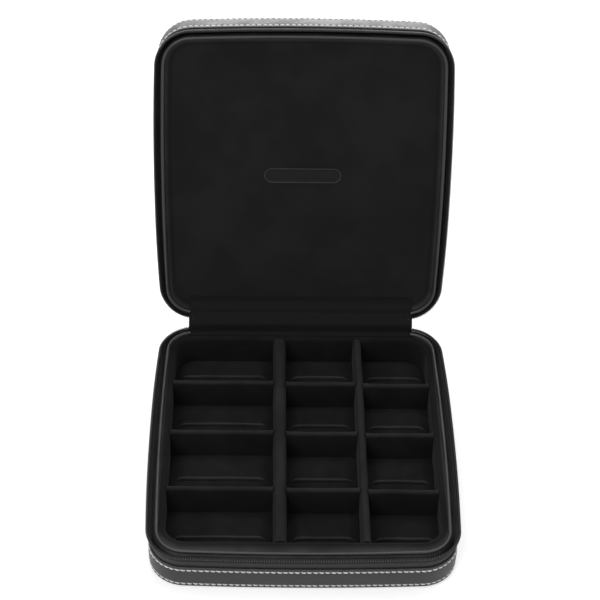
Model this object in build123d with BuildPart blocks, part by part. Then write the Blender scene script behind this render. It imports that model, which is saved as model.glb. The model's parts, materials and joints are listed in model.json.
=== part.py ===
"""Zip-around carry case with a padded lid and twelve velour pockets.

Millimetres, +Z up. The origin is the middle of the base's underside. The hinge side is +Y and
the opening side -Y. The lid stands open, leaning back; turning it by OPEN_ANGLE about the hinge
axis shuts it. Base and lid are the same shell: each is drawn on a plane at its cover's outer
face, with local z towards the seam and local y towards the hinge.
"""

from build123d import *

import os
from math import cos, radians, sin

os.makedirs("parts", exist_ok=True)

# ---------------------------------------------------------------- driving dimensions
CASE_WIDTH = 169.0          # over the widest points of the bowed sides
CASE_LENGTH = 180.4         # hinge side to the front's widest point
HALF_HEIGHT = 23.0          # cover's outer face to the middle of the piping bead
SEAM_GAP = 3.0              # between the two piping beads' middles when shut
CORNER_R = 20.0
SIDE_BOW = 2.2              # how far the two sides and the front bulge
OPEN_ANGLE = 104.4          # lid swing between shut and fully open

# hinge axis, which a soft spine gives: behind the wall and above the seam's middle plane
HINGE_BACK = 2.3
HINGE_RISE = 2.0
LINING_SPAN = 134.0         # width of the inner hinge lining; the zips stop at its edges
SPINE_SPAN = 80.0           # width of the outer hinge spine

# shell of one half
COVER_THICK = 1.0
COVER_EDGE = 0.7            # rounding of the cover's outer edge
WALL_THICK = 1.2
WALL_TOP = 15.0
TAPE_THICK = 0.6
TAPE_TUCK = 6.0             # length of zip tape sewn inside the leather wall
BOARD_THICK = 1.2
FRAME_THICK = 1.6
FRAME_DROP = 5.5            # piping bead's middle down to the frame's top
COIL_WIDTH = 1.8
COIL_HEIGHT = 2.5
COIL_INSET = 0.3            # middle of the coil, inside the wall's outer face
COIL_CLEAR = 0.3            # each coil's distance from the seam's middle plane when shut
PIPING_R = 1.0
BASE_PIPING_INSET = 4.5
LID_PIPING_INSET = 3.6

# tray in the base
TRAY_FLOOR_THICK = 0.8
RIM_SIDE = 9.7              # outer wall face to pocket edge
RIM_FRONT = 14.6
RIM_BACK = 8.2
RIM_ROUND = 2.0             # rounding of the padded rim's inner edge
FIELD_CORNER_R = 13.0
DIVIDER_DROP = 0.6          # padded rim down to the dividers' tops
LEFT_POCKET = 58.4
LEFT_DIVIDER = 7.6
MIDDLE_POCKET = 40.2
RIGHT_DIVIDER = 4.9
CROSS_DIVIDER = 3.6
ROWS = 4
ROW_SHIFT = (-2.2, 1.3, 2.0)        # cross dividers, front to back, off an even spacing
ROW_STAGGER = (1.0, 0.2, -0.8)      # the three columns' cross dividers are set by hand
CUSHION_HEIGHT = 3.4
CUSHION_CLEAR = 0.3
SLIT_WIDTH = 0.8
SLIT_DEPTH = 2.2
SLIT_MARGIN = 5.0           # slit's end to the cushion's end
DIVIDER_ROUND = 1.4

# lid lining
PANEL_THICK = 2.0
PANEL_RECESS = 4.0          # piping bead's middle down to the panel's face
BEVEL_WIDTH = 4.0
PLAQUE_LENGTH = 45.0
PLAQUE_WIDTH = 9.4
PLAQUE_THICK = 0.6
PLAQUE_FROM_HINGE = 93.9    # hinge axis to the plaque's middle, along the lid

# hinge strips
SPINE_THICK = 0.8
SPINE_LAP = 3.0             # sewn on the leather walls
SPINE_BEND_R = 6.0
LINING_THICK = 0.6
LINING_BEND_R = 0.8
LINING_ON_PANEL = 15.0      # hinge axis to the lining's end on the lid's panel

# zip ends, slider and pull
END_COIL_THICK = 1.6
END_COIL_HEIGHT = 2.8
END_COIL_GAP = 0.8          # slot between the two coils that the slider's post runs in
STOP_LENGTH = 2.0
STOP_PROUD = 0.25
SLIDER_LENGTH = 10.0
SLIDER_WIDTH = 7.6
SLIDER_START = 0.3          # slider's end to the stop when the case is open
PLATE_THICK = 0.8
PLATE_CLEAR = 0.4           # between a plate and the coils
POST_LENGTH = 3.0
POST_THICK = 0.4
BRIDGE_LENGTH = 6.0
BRIDGE_WIDTH = 2.0
BRIDGE_THICK = 0.8
BRIDGE_CLEAR = 2.2          # height under the bridge
EYE_OUTER_R = 2.2
EYE_INNER_R = 1.45
EYE_WIDTH = 3.6
PULL_LENGTH = 20.0          # bridge to the pull's lower end
PULL_WIDTH = 6.0
PULL_THICK = 1.0
PULL_NECK = 4.4             # bridge to the pull's wide part
PULL_ROUND = 1.5
LINING_CLEAR = 0.4          # between the slider and the hinge lining

# ---------------------------------------------------------------- derived
HALF_W = CASE_WIDTH / 2
HALF_L = CASE_LENGTH / 2
SHUT_HEIGHT = 2 * HALF_HEIGHT + SEAM_GAP
SEAM_Z = SHUT_HEIGHT / 2
HINGE_Y = HALF_L + HINGE_BACK
HINGE_Z = SEAM_Z + HINGE_RISE
FLOOR_Z = COVER_THICK + BOARD_THICK
TRAY_Z = FLOOR_Z + TRAY_FLOOR_THICK
TRAY_INSET = WALL_THICK + TAPE_THICK + FRAME_THICK
RIM_TOP = HALF_HEIGHT - PIPING_R
DIVIDER_TOP = RIM_TOP - DIVIDER_DROP
FRAME_TOP = HALF_HEIGHT - FRAME_DROP
PANEL_Z = HALF_HEIGHT - PANEL_RECESS
COIL_TOP = SEAM_Z - COIL_CLEAR
COIL_FOOT = COIL_TOP - COIL_HEIGHT

BASE = Plane.XY
LID_SHUT = Plane(origin=(0, 0, SHUT_HEIGHT), x_dir=(-1, 0, 0), z_dir=(0, 0, -1))
TO_HINGE = Location((0, HINGE_Y, HINGE_Z))
FROM_HINGE = Location((0, -HINGE_Y, -HINGE_Z))
SWING = TO_HINGE * Location((0, 0, 0), (-OPEN_ANGLE, 0, 0)) * FROM_HINGE
LID = Plane(SWING * LID_SHUT.location)


def swung(y, z):
    """Where a point of the shut lid, given in the case's own y and z, stands on the open lid."""
    turn = -radians(OPEN_ANGLE)
    dy, dz = y - HINGE_Y, z - HINGE_Z
    return HINGE_Y + dy * cos(turn) - dz * sin(turn), HINGE_Z + dy * sin(turn) + dz * cos(turn)


def finish(part, name):
    """Label a finished piece and write it to its own file."""
    part.label = name
    export_step(part, f"parts/{name}.step")


# ---------------------------------------------------------------- outline of the case
def outline(inset):
    """Rounded rectangle, bowed at the front and both sides and straight at the hinge side."""
    half_w, half_l = HALF_W - inset, HALF_L - inset
    corner_x, front_y = half_w - SIDE_BOW, half_l - SIDE_BOW
    with BuildSketch() as face:
        with BuildLine():
            Line((corner_x, half_l), (-corner_x, half_l))
            ThreePointArc((-corner_x, half_l), (-half_w, 0), (-corner_x, -front_y))
            ThreePointArc((-corner_x, -front_y), (0, -half_l), (corner_x, -front_y))
            ThreePointArc((corner_x, -front_y), (half_w, 0), (corner_x, half_l))
        make_face()
        fillet(face.vertices(), CORNER_R - inset)
    return face.sketch


def band(plane, outer, inner, low, high):
    """Wall between two insets of the outline, from one local height to another."""
    outside, inside = outline(outer), outline(inner)
    with BuildPart() as wall:
        with BuildSketch(plane.offset(low)):
            add(outside)
            add(inside, mode=Mode.SUBTRACT)
        extrude(amount=high - low)
    return wall.part


def slab(plane, inset, low, high):
    """Full plate within one inset of the outline."""
    face = outline(inset)
    with BuildPart() as plate:
        with BuildSketch(plane.offset(low)):
            add(face)
        extrude(amount=high - low)
    return plate.part


def back_gap(plane, width):
    """Block that takes a rim's stretch at the hinge side out, as wide as the hinge strip."""
    depth = 2 * RIM_SIDE
    with BuildPart() as block:
        with BuildSketch(plane):
            with Locations((0, HALF_L)):
                Rectangle(width, depth)
        extrude(amount=SHUT_HEIGHT)
    return block.part


# ---------------------------------------------------------------- one half of the shell
def make_cover(plane):
    with BuildPart() as cover:
        add(slab(plane, 0, 0, COVER_THICK))
        outer_face = cover.faces().sort_by(Axis(plane.origin, plane.z_dir))[0]
        fillet(outer_face.edges(), COVER_EDGE)
    return cover.part


def make_frame(plane):
    """Stiff inner wall, rebated on its outside where the zip tape is glued in."""
    with BuildPart() as frame:
        add(band(plane, WALL_THICK, TRAY_INSET, FLOOR_Z, WALL_TOP - TAPE_TUCK))
        add(band(plane, WALL_THICK + TAPE_THICK, TRAY_INSET, WALL_TOP - TAPE_TUCK, FRAME_TOP))
    return frame.part


def tapered(plane, low, low_inset, high, high_inset):
    """Block whose side leans from one inset at the low height to another at the high one."""
    low_face, high_face = outline(low_inset), outline(high_inset)
    with BuildPart() as block:
        with BuildSketch(plane.offset(low)):
            add(low_face)
        with BuildSketch(plane.offset(high)):
            add(high_face)
        loft(ruled=True)
    return block.part


def make_tape(plane):
    """Zip tape: sewn in behind the leather, then leaning outwards to carry the coil."""
    top_outer = COIL_INSET - TAPE_THICK / 2
    top_inner = top_outer + TAPE_THICK
    with BuildPart() as tape:
        add(tapered(plane, WALL_TOP, WALL_THICK, COIL_FOOT, top_outer))
        add(tapered(plane, WALL_TOP, WALL_THICK + TAPE_THICK, COIL_FOOT, top_inner), mode=Mode.SUBTRACT)
        add(band(plane, WALL_THICK, WALL_THICK + TAPE_THICK, WALL_TOP - TAPE_TUCK, WALL_TOP))
        add(back_gap(plane, LINING_SPAN), mode=Mode.SUBTRACT)
    return tape.part


def make_coil(plane):
    """Half of the zip's coil along the tape's edge."""
    outer = COIL_INSET - COIL_WIDTH / 2
    with BuildPart() as coil:
        add(band(plane, outer, outer + COIL_WIDTH, COIL_FOOT, COIL_TOP))
        add(back_gap(plane, LINING_SPAN), mode=Mode.SUBTRACT)
    return coil.part


def make_piping(plane, inset):
    """Round bead along the lining's edge, open where the hinge lining passes."""
    run = outline(inset).face().outer_wire().moved(plane.offset(HALF_HEIGHT).location)
    with BuildPart() as piping:
        with BuildSketch(Plane(origin=run @ 0, z_dir=run % 0)):
            Circle(PIPING_R)
        sweep(path=run)
        add(back_gap(plane, LINING_SPAN), mode=Mode.SUBTRACT)
    return piping.part


for side, half, bead_inset in (("base", BASE, BASE_PIPING_INSET), ("lid", LID, LID_PIPING_INSET)):
    finish(make_cover(half), f"{side}_cover")
    finish(band(half, 0, WALL_THICK, COVER_THICK, WALL_TOP), f"{side}_wall")
    finish(slab(half, WALL_THICK, COVER_THICK, FLOOR_Z), f"{side}_board")
    finish(make_frame(half), f"{side}_frame")
    finish(make_tape(half), f"{side}_zip_tape")
    finish(make_coil(half), f"{side}_zip_coil")
    finish(make_piping(half, bead_inset), f"{side}_piping")


# ---------------------------------------------------------------- tray of twelve pockets
FIELD_LEFT = RIM_SIDE - HALF_W
FIELD_RIGHT = -FIELD_LEFT
FIELD_FRONT = RIM_FRONT - HALF_L
FIELD_BACK = HALF_L - RIM_BACK
FIELD_LENGTH = FIELD_BACK - FIELD_FRONT
LEFT_WALL = FIELD_LEFT + LEFT_POCKET
RIGHT_WALL = LEFT_WALL + LEFT_DIVIDER + MIDDLE_POCKET
COLUMNS = {
    "left": (FIELD_LEFT, LEFT_WALL, ROW_STAGGER[0]),
    "middle": (LEFT_WALL + LEFT_DIVIDER, RIGHT_WALL, ROW_STAGGER[1]),
    "right": (RIGHT_WALL + RIGHT_DIVIDER, FIELD_RIGHT, ROW_STAGGER[2]),
}


def field(shrink):
    """Floor of the pocket field, with rounded corners, drawn smaller by a clearance."""
    middle = (FIELD_FRONT + FIELD_BACK) / 2
    width = FIELD_RIGHT - FIELD_LEFT - 2 * shrink
    with BuildSketch() as face:
        with Locations((0, middle)):
            RectangleRounded(width, FIELD_LENGTH - 2 * shrink, FIELD_CORNER_R - shrink)
    return face.sketch


def bar(x_low, x_high, y_low, y_high, low, high):
    """Upright block between four edges, standing from one height to another."""
    with BuildPart() as block:
        with BuildSketch(Plane.XY.offset(low)):
            with Locations(((x_low + x_high) / 2, (y_low + y_high) / 2)):
                Rectangle(x_high - x_low, y_high - y_low)
        extrude(amount=high - low)
    return block.part


def divider(x_low, x_high, y_low, y_high, along):
    """Velour-covered pocket wall, its two long top edges rounded."""
    with BuildPart() as wall:
        add(bar(x_low, x_high, y_low, y_high, TRAY_Z, DIVIDER_TOP))
        top = wall.faces().sort_by(Axis.Z)[-1]
        fillet(top.edges().filter_by(along), DIVIDER_ROUND)
    return wall.part


def row_wall(row, stagger):
    """Middle of the cross divider in front of a row, counted from the front."""
    return FIELD_FRONT + FIELD_LENGTH * row / ROWS + ROW_SHIFT[row - 1] + stagger


def cushion(x_low, x_high, y_low, y_high):
    """Slit cushion that fills a pocket's floor."""
    floor = field(CUSHION_CLEAR)
    middle = ((x_low + x_high) / 2, (y_low + y_high) / 2)
    width, length = x_high - x_low - 2 * CUSHION_CLEAR, y_high - y_low - 2 * CUSHION_CLEAR
    with BuildPart() as pad:
        with BuildSketch(Plane.XY.offset(TRAY_Z)):
            with Locations(middle):
                Rectangle(width, length)
            add(floor, mode=Mode.INTERSECT)
        extrude(amount=CUSHION_HEIGHT)
        with BuildSketch(Plane.XY.offset(TRAY_Z + CUSHION_HEIGHT)):
            with Locations(middle):
                Rectangle(width - 2 * SLIT_MARGIN, SLIT_WIDTH)
        extrude(amount=-SLIT_DEPTH, mode=Mode.SUBTRACT)
    return pad.part


rim_outside, pocket_field = outline(TRAY_INSET), field(0)
with BuildPart() as tray_rim:
    with BuildSketch(Plane.XY.offset(TRAY_Z)):
        add(rim_outside)
        add(pocket_field, mode=Mode.SUBTRACT)
    extrude(amount=RIM_TOP - TRAY_Z)
    rim_face = tray_rim.faces().sort_by(Axis.Z)[-1]
    fillet(rim_face.inner_wires()[0].edges(), RIM_ROUND)
finish(tray_rim.part, "tray_rim")
finish(slab(BASE, TRAY_INSET, FLOOR_Z, TRAY_Z), "tray_floor")

finish(divider(LEFT_WALL, LEFT_WALL + LEFT_DIVIDER, FIELD_FRONT, FIELD_BACK, Axis.Y), "divider_left")
finish(divider(RIGHT_WALL, RIGHT_WALL + RIGHT_DIVIDER, FIELD_FRONT, FIELD_BACK, Axis.Y), "divider_right")
for column, (x_low, x_high, stagger) in COLUMNS.items():
    walls = [row_wall(row, stagger) for row in range(1, ROWS)]
    for row, y in enumerate(walls, 1):
        half = CROSS_DIVIDER / 2
        finish(divider(x_low, x_high, y - half, y + half, Axis.X), f"cross_{column}_{row}")
    fronts = [FIELD_FRONT] + [y + CROSS_DIVIDER / 2 for y in walls]
    backs = [y - CROSS_DIVIDER / 2 for y in walls] + [FIELD_BACK]
    for row, (y_low, y_high) in enumerate(zip(fronts, backs), 1):
        finish(cushion(x_low, x_high, y_low, y_high), f"cushion_{column}_{row}")

# ---------------------------------------------------------------- lining of the lid
PANEL_FOOT = PANEL_Z - PANEL_THICK
finish(slab(LID, TRAY_INSET, FLOOR_Z, PANEL_FOOT), "lid_padding")
finish(slab(LID, TRAY_INSET, PANEL_FOOT, PANEL_Z), "lid_panel")

with BuildPart() as lid_rim:
    add(slab(LID, TRAY_INSET, PANEL_Z, RIM_TOP))
    bevel_top = LID_PIPING_INSET + PIPING_R
    add(tapered(LID, PANEL_Z, LID_PIPING_INSET + BEVEL_WIDTH, RIM_TOP, bevel_top), mode=Mode.SUBTRACT)
finish(lid_rim.part, "lid_rim")

with BuildPart() as lid_plaque:
    with BuildSketch(LID.offset(PANEL_Z)):
        with Locations((0, HINGE_Y - PLAQUE_FROM_HINGE)):
            SlotOverall(PLAQUE_LENGTH, PLAQUE_WIDTH)
    extrude(amount=PLAQUE_THICK)
finish(lid_plaque.part, "lid_plaque")


# ---------------------------------------------------------------- soft hinge
def strip(points, bend, thick, x_low, x_high):
    """Bent sheet: a path in the YZ plane with rounded bends, given a thickness and a width."""
    with BuildPart() as sheet:
        with BuildSketch(Plane.YZ.offset(x_low)):
            with BuildLine() as path:
                FilletPolyline(*points, radius=bend)
            trace(path.line, line_width=thick)
        extrude(amount=x_high - x_low)
    return sheet.part


def crossing(y, on_lid, further):
    """Point where the upright line at y meets the line through two points of the open lid."""
    slope = (further[1] - on_lid[1]) / (further[0] - on_lid[0])
    return y, on_lid[1] + (y - on_lid[0]) * slope


spine_y = HALF_L + SPINE_THICK / 2
spine_lid = swung(spine_y, SHUT_HEIGHT - WALL_TOP)
spine_end = swung(spine_y, SHUT_HEIGHT - WALL_TOP + SPINE_LAP)
spine_path = [(spine_y, WALL_TOP - SPINE_LAP), crossing(spine_y, spine_lid, spine_end), spine_end]
half_spine = SPINE_SPAN / 2
finish(strip(spine_path, SPINE_BEND_R, SPINE_THICK, -half_spine, half_spine), "hinge_spine")

COIL_Y = HALF_L - COIL_INSET
SLIDER_HALF_THICK = END_COIL_THICK / 2 + PLATE_CLEAR + PLATE_THICK
LINING_OFF = LINING_CLEAR + LINING_THICK / 2
riser_y = COIL_Y - SLIDER_HALF_THICK - LINING_OFF
ridge_z = SEAM_Z + SLIDER_WIDTH / 2 + LINING_OFF
over_rim = SHUT_HEIGHT - RIM_TOP - LINING_THICK / 2
over_panel = SHUT_HEIGHT - PANEL_Z - LINING_THICK / 2
lining_path = [
    (FIELD_BACK + RIM_ROUND, RIM_TOP + LINING_THICK / 2),
    (riser_y, RIM_TOP + LINING_THICK / 2),
    (riser_y, ridge_z),
    swung(HALF_L - TRAY_INSET, over_rim),
    swung(HALF_L - LID_PIPING_INSET - PIPING_R - LINING_THICK, over_rim),
    swung(HALF_L - LID_PIPING_INSET - BEVEL_WIDTH - 2 * LINING_THICK, over_panel),
    swung(HINGE_Y - LINING_ON_PANEL, over_panel),
]
half_lining = LINING_SPAN / 2
finish(strip(lining_path, LINING_BEND_R, LINING_THICK, -half_lining, half_lining), "hinge_lining")

# ---------------------------------------------------------------- zip ends beside the spine
COIL_END = half_spine + STOP_LENGTH
LOWER_COIL_Z = SEAM_Z - END_COIL_GAP / 2 - END_COIL_HEIGHT
UPPER_COIL_Z = SEAM_Z + END_COIL_GAP / 2

with BuildPart() as zip_end_coils:
    for low_z in (LOWER_COIL_Z, UPPER_COIL_Z):
        with BuildSketch(Plane.XY.offset(low_z)):
            for x in (-(COIL_END + half_lining) / 2, (COIL_END + half_lining) / 2):
                with Locations((x, COIL_Y)):
                    Rectangle(half_lining - COIL_END, END_COIL_THICK)
        extrude(amount=END_COIL_HEIGHT)
finish(zip_end_coils.part, "zip_end_coils")

with BuildPart() as zip_stops:
    stop_height = END_COIL_GAP + 2 * (END_COIL_HEIGHT + STOP_PROUD)
    with BuildSketch(Plane.XY.offset(SEAM_Z - stop_height / 2)):
        for x in (half_spine + STOP_LENGTH / 2, -half_spine - STOP_LENGTH / 2):
            with Locations((x, COIL_Y)):
                Rectangle(STOP_LENGTH, END_COIL_THICK + 2 * STOP_PROUD)
    extrude(amount=stop_height)
finish(zip_stops.part, "zip_stops")

upper_coil_top = UPPER_COIL_Z + END_COIL_HEIGHT
tape_ridge = (ridge_z - LINING_OFF) + LINING_CLEAR + TAPE_THICK / 2
tape_lid = swung(COIL_Y, SHUT_HEIGHT - WALL_TOP - TAPE_THICK / 2)
tape_bend_r = min(LINING_BEND_R, 0.9 * (tape_ridge - upper_coil_top))
upper_path = [
    (COIL_Y, upper_coil_top),
    (COIL_Y, tape_ridge),
    (COIL_Y + SLIDER_HALF_THICK + LINING_CLEAR, tape_ridge),
    tape_lid,
]
with BuildPart() as zip_end_tapes:
    for x_low, x_high in ((-half_lining, -half_spine), (half_spine, half_lining)):
        add(bar(x_low, x_high, COIL_Y - TAPE_THICK / 2, COIL_Y + TAPE_THICK / 2, WALL_TOP, LOWER_COIL_Z))
        add(strip(upper_path, tape_bend_r, TAPE_THICK, x_low, x_high))
    add(zip_stops.part, mode=Mode.SUBTRACT)
finish(zip_end_tapes.part, "zip_end_tapes")

# ---------------------------------------------------------------- slider and pull
# drawn on the coil's upright middle plane: local y is down, local z away from the case
SLIDER_X = -(COIL_END + SLIDER_START + SLIDER_LENGTH / 2)
SLIDER_MID = Plane(origin=(SLIDER_X, COIL_Y, SEAM_Z), x_dir=(1, 0, 0), z_dir=(0, 1, 0))
PLATE_IN = END_COIL_THICK / 2 + PLATE_CLEAR
PLATE_OUT = PLATE_IN + PLATE_THICK

with BuildPart() as zip_slider:
    for low in (PLATE_IN, -PLATE_OUT):
        with BuildSketch(SLIDER_MID.offset(low)):
            RectangleRounded(SLIDER_LENGTH, SLIDER_WIDTH, SLIDER_WIDTH / 4)
        extrude(amount=PLATE_THICK)
    with BuildSketch(SLIDER_MID.offset(-PLATE_IN)):
        with Locations((POST_LENGTH / 2 - SLIDER_LENGTH / 2, 0)):
            Rectangle(POST_LENGTH, POST_THICK)
    extrude(amount=2 * PLATE_IN)
    with BuildSketch(SLIDER_MID.offset(PLATE_OUT)):
        Rectangle(BRIDGE_LENGTH, BRIDGE_WIDTH)
    extrude(amount=BRIDGE_CLEAR + BRIDGE_THICK)
    with BuildSketch(SLIDER_MID.offset(PLATE_OUT)):
        Rectangle(BRIDGE_LENGTH - 2 * BRIDGE_THICK, BRIDGE_WIDTH)
    extrude(amount=BRIDGE_CLEAR, mode=Mode.SUBTRACT)
finish(zip_slider.part, "zip_slider")

STRAP_OUT = PLATE_OUT + BRIDGE_CLEAR + BRIDGE_THICK / 2
NECK_TOP = (EYE_INNER_R + EYE_OUTER_R) / 2
with BuildPart() as zip_pull:
    with BuildSketch(Plane.YZ.offset(SLIDER_X - EYE_WIDTH / 2)):
        with Locations((COIL_Y + STRAP_OUT, SEAM_Z)):
            Circle(EYE_OUTER_R)
            Circle(EYE_INNER_R, mode=Mode.SUBTRACT)
    extrude(amount=EYE_WIDTH)
    with BuildSketch(SLIDER_MID.offset(STRAP_OUT - PULL_THICK / 2)):
        with Locations((0, (NECK_TOP + PULL_NECK) / 2)):
            Rectangle(EYE_WIDTH, PULL_NECK - NECK_TOP)
        with Locations((0, (PULL_NECK + PULL_LENGTH) / 2)):
            RectangleRounded(PULL_WIDTH, PULL_LENGTH - PULL_NECK, PULL_ROUND)
    extrude(amount=PULL_THICK)
finish(zip_pull.part, "zip_pull")
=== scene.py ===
import json
import math

import bpy
import numpy as np
from mathutils import Matrix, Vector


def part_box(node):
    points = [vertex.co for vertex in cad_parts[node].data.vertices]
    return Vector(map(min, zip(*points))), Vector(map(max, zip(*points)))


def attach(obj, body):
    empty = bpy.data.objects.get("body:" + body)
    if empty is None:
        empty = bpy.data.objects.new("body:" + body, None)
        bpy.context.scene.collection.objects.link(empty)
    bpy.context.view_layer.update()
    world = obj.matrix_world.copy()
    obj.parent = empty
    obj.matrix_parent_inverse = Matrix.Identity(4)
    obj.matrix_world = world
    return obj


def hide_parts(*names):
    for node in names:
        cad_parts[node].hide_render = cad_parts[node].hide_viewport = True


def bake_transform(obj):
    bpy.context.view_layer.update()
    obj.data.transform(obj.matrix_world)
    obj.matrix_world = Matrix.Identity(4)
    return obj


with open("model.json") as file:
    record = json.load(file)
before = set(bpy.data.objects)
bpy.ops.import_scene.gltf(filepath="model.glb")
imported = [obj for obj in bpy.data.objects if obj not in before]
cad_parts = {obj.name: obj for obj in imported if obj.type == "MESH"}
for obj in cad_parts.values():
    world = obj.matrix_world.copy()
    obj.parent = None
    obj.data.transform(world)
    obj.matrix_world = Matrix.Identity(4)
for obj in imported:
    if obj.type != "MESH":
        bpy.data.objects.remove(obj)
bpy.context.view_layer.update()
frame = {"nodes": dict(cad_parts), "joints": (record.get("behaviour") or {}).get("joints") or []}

# A zip-around carry case: two leather shells joined by a soft spine, a velour tray of twelve
# pockets in the base and a padded lid. Lengths are millimetres until a mesh is made, where they
# become metres. Lid pieces are worked out like base pieces, with z up from the cover, and are
# turned onto the open lid at the end.


def node_box(name):
    """Lowest and highest corner of a CAD node, in millimetres."""
    low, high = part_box(name)
    return np.array(low) * 1000, np.array(high) * 1000


# Taken from the frame.
HALF_W, HALF_L, WALL_TOP = node_box("base_wall")[1]
RIM_TOP = node_box("tray_rim")[1][2]
TRAY_Z = node_box("tray_floor")[1][2]
FRAME_TOP = node_box("base_frame")[1][2]
COIL_FOOT, COIL_TOP = (corner[2] for corner in node_box("base_zip_coil"))
PIPING_Z = sum(corner[2] for corner in node_box("base_piping")) / 2
FIELD_FRONT, FIELD_BACK = (corner[1] for corner in node_box("divider_left"))
FIELD_LEFT, FIELD_RIGHT = node_box("cross_left_1")[0][0], node_box("cross_right_1")[1][0]
SPINE_HALF, LINING_HALF = node_box("hinge_spine")[1][0], node_box("hinge_lining")[1][0]
COIL_Y = sum(corner[1] for corner in node_box("zip_end_coils")) / 2
END_COIL_FOOT = node_box("zip_end_coils")[0][2]
SLIDER_LOW, SLIDER_HIGH = node_box("zip_slider")
JOINTS = {joint["name"]: joint for joint in frame["joints"]}
HINGE_Y, HINGE_Z = (value * 1000 for value in JOINTS["lid_hinge"]["pos_m"][1:])
OPEN_ANGLE = math.radians(JOINTS["lid_hinge"]["range_deg"][1])
PULL_Y = JOINTS["pull_swing"]["pos_m"][1] * 1000

# The part's own values that the frame doesn't give, and below them the sizes of what only this
# script draws: stitches, slits, coil wire, the flare of the tape and the gaps between surfaces.
CORNER_R = 20.0
SIDE_BOW = 2.2
FIELD_CORNER_R = 13.0
COIL_CLEAR = 0.3
SHUT_HEIGHT = 2 * (COIL_TOP + COIL_CLEAR)
SEAM_Z = SHUT_HEIGHT / 2
PANEL_Z = PIPING_Z - 4.0
PADDING_TOP = PANEL_Z - 2.0
SHELL_THICK = 1.2
TAPE_THICK = 0.6
TRAY_INSET = 3.4
PIPING_R = 1.0
BASE_PIPING_INSET = 4.5
LID_PIPING_INSET = 3.6

STITCH_PITCH = 3.2
STITCH_LOW = 2.1
STITCH_HIGH = 12.8
SLIT_FORWARD = (4.0, 2.2, 1.4, 0.9)
COIL_PITCH = 1.3
COIL_WIRE_R = 0.31
COIL_INSET = 0.3
ZIP_FLARE = 1.1
SKIN_GAP = 0.03
SEAT = 0.05
QUARTER = math.pi / 2
UP = np.array([0, 0, 1.0])


def swung(y, z):
    """A point of the shut lid, turned about the hinge axis to the open lid."""
    c, s = math.cos(-OPEN_ANGLE), math.sin(-OPEN_ANGLE)
    dy, dz = y - HINGE_Y, z - HINGE_Z
    return HINGE_Y + dy * c - dz * s, HINGE_Z + dy * s + dz * c


def on_lid(points):
    """Points drawn with z up from the cover, put on the open lid: flipped about +Y, then swung."""
    y, z = swung(points[..., 1], SHUT_HEIGHT - points[..., 2])
    return np.stack([-points[..., 0], y, z], axis=-1)


def wander(x, y, seed, size):
    """Soft random height between about -1 and 1: a sum of six sine waves of one rough size."""
    rng, turn = np.random.default_rng(seed), 6.28
    total = 0.0
    for _ in range(6):
        angle, phase, k = rng.uniform(0, turn), rng.uniform(0, turn), rng.uniform(0.6, 1.5)
        total = total + np.sin(turn * k / size * (x * math.cos(angle) + y * math.sin(angle)) + phase)
    return total / 3.5


def smooth_step(x, low, high):
    """0 below low, 1 above high, and the cubic 3t^2 - 2t^3 between them."""
    t = np.clip((x - low) / (high - low), 0, 1)
    return t * t * (3 - 2 * t)


def hump(x, middle, width):
    """A bell that is 1 at its middle: e to the minus square of the distance in widths."""
    return np.exp(-((x - middle) / width) ** 2)


def around(count):
    return np.linspace(0, 2 * np.pi, count, endpoint=False)


def squared(value, power):
    """Keeps the sign and raises the size to a power. Below 1 it squares off a circle's sines."""
    return np.sign(value) * np.abs(value) ** power


# ------------------------------------------------ outlines
def circle_through(a, b, c):
    """Centre and radius of the circle through three points."""
    a, b, c = np.array(a), np.array(b), np.array(c)
    centre = np.linalg.solve(2 * np.array([b - a, c - a]), np.array([b @ b - a @ a, c @ c - a @ a]))
    return centre, float(np.hypot(*(centre - a)))


def circles_meet(c1, r1, c2, r2, near):
    """The crossing of two circles that lies nearer to a point."""
    d = np.hypot(*(c2 - c1))
    along = (d * d + r1 * r1 - r2 * r2) / (2 * d)
    across = math.sqrt(max(0, r1 * r1 - along * along))
    e = (c2 - c1) / d
    both = [c1 + e * along + k * across * np.array([-e[1], e[0]]) for k in (1, -1)]
    return min(both, key=lambda p: np.hypot(*(p - near)))


def heading(a, b, past=False):
    """The angle of the line from a to b, in a full turn. With past, an angle in the first half of
    the turn is counted on past a full one."""
    angle = math.atan2(b[1] - a[1], b[0] - a[0]) % (2 * math.pi)
    return angle + 2 * math.pi if past and angle < math.pi else angle


def case_outline():
    """Nine runs round the case, anticlockwise from the middle of the hinge side. The hinge side is
    straight, the other three are shallow arcs, and the corners are arcs tangent to both."""
    cx, cy, mirror = HALF_W - SIDE_BOW, HALF_L - SIDE_BOW, np.array([-1, 1])
    right, side_r = circle_through((cx, -cy), (HALF_W, 0), (cx, HALF_L))
    left = right * mirror
    front, front_r = circle_through((-cx, -cy), (0, -HALF_L), (cx, -cy))
    back_y = HALF_L - CORNER_R
    reach = math.sqrt((side_r - CORNER_R) ** 2 - (back_y - left[1]) ** 2)
    back_left = np.array([left[0] - reach, back_y])
    front_left = circles_meet(left, side_r - CORNER_R, front, front_r - CORNER_R, (-cx, -cy))
    back_right, front_right = back_left * mirror, front_left * mirror
    return [
        ("line", (0, HALF_L), (back_left[0], HALF_L)),
        ("arc", back_left, CORNER_R, QUARTER, heading(left, back_left)),
        ("arc", left, side_r, heading(left, back_left), heading(left, front_left)),
        ("arc", front_left, CORNER_R, heading(left, front_left), heading(front, front_left)),
        ("arc", front, front_r, heading(front, front_left), heading(front, front_right)),
        ("arc", front_right, CORNER_R, heading(front, front_right), heading(right, front_right, True)),
        ("arc", right, side_r, heading(right, front_right, True), heading(right, back_right, True)),
        ("arc", back_right, CORNER_R, heading(right, back_right, True), 5 * QUARTER),
        ("line", (back_right[0], HALF_L), (0, HALF_L)),
    ]


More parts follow.
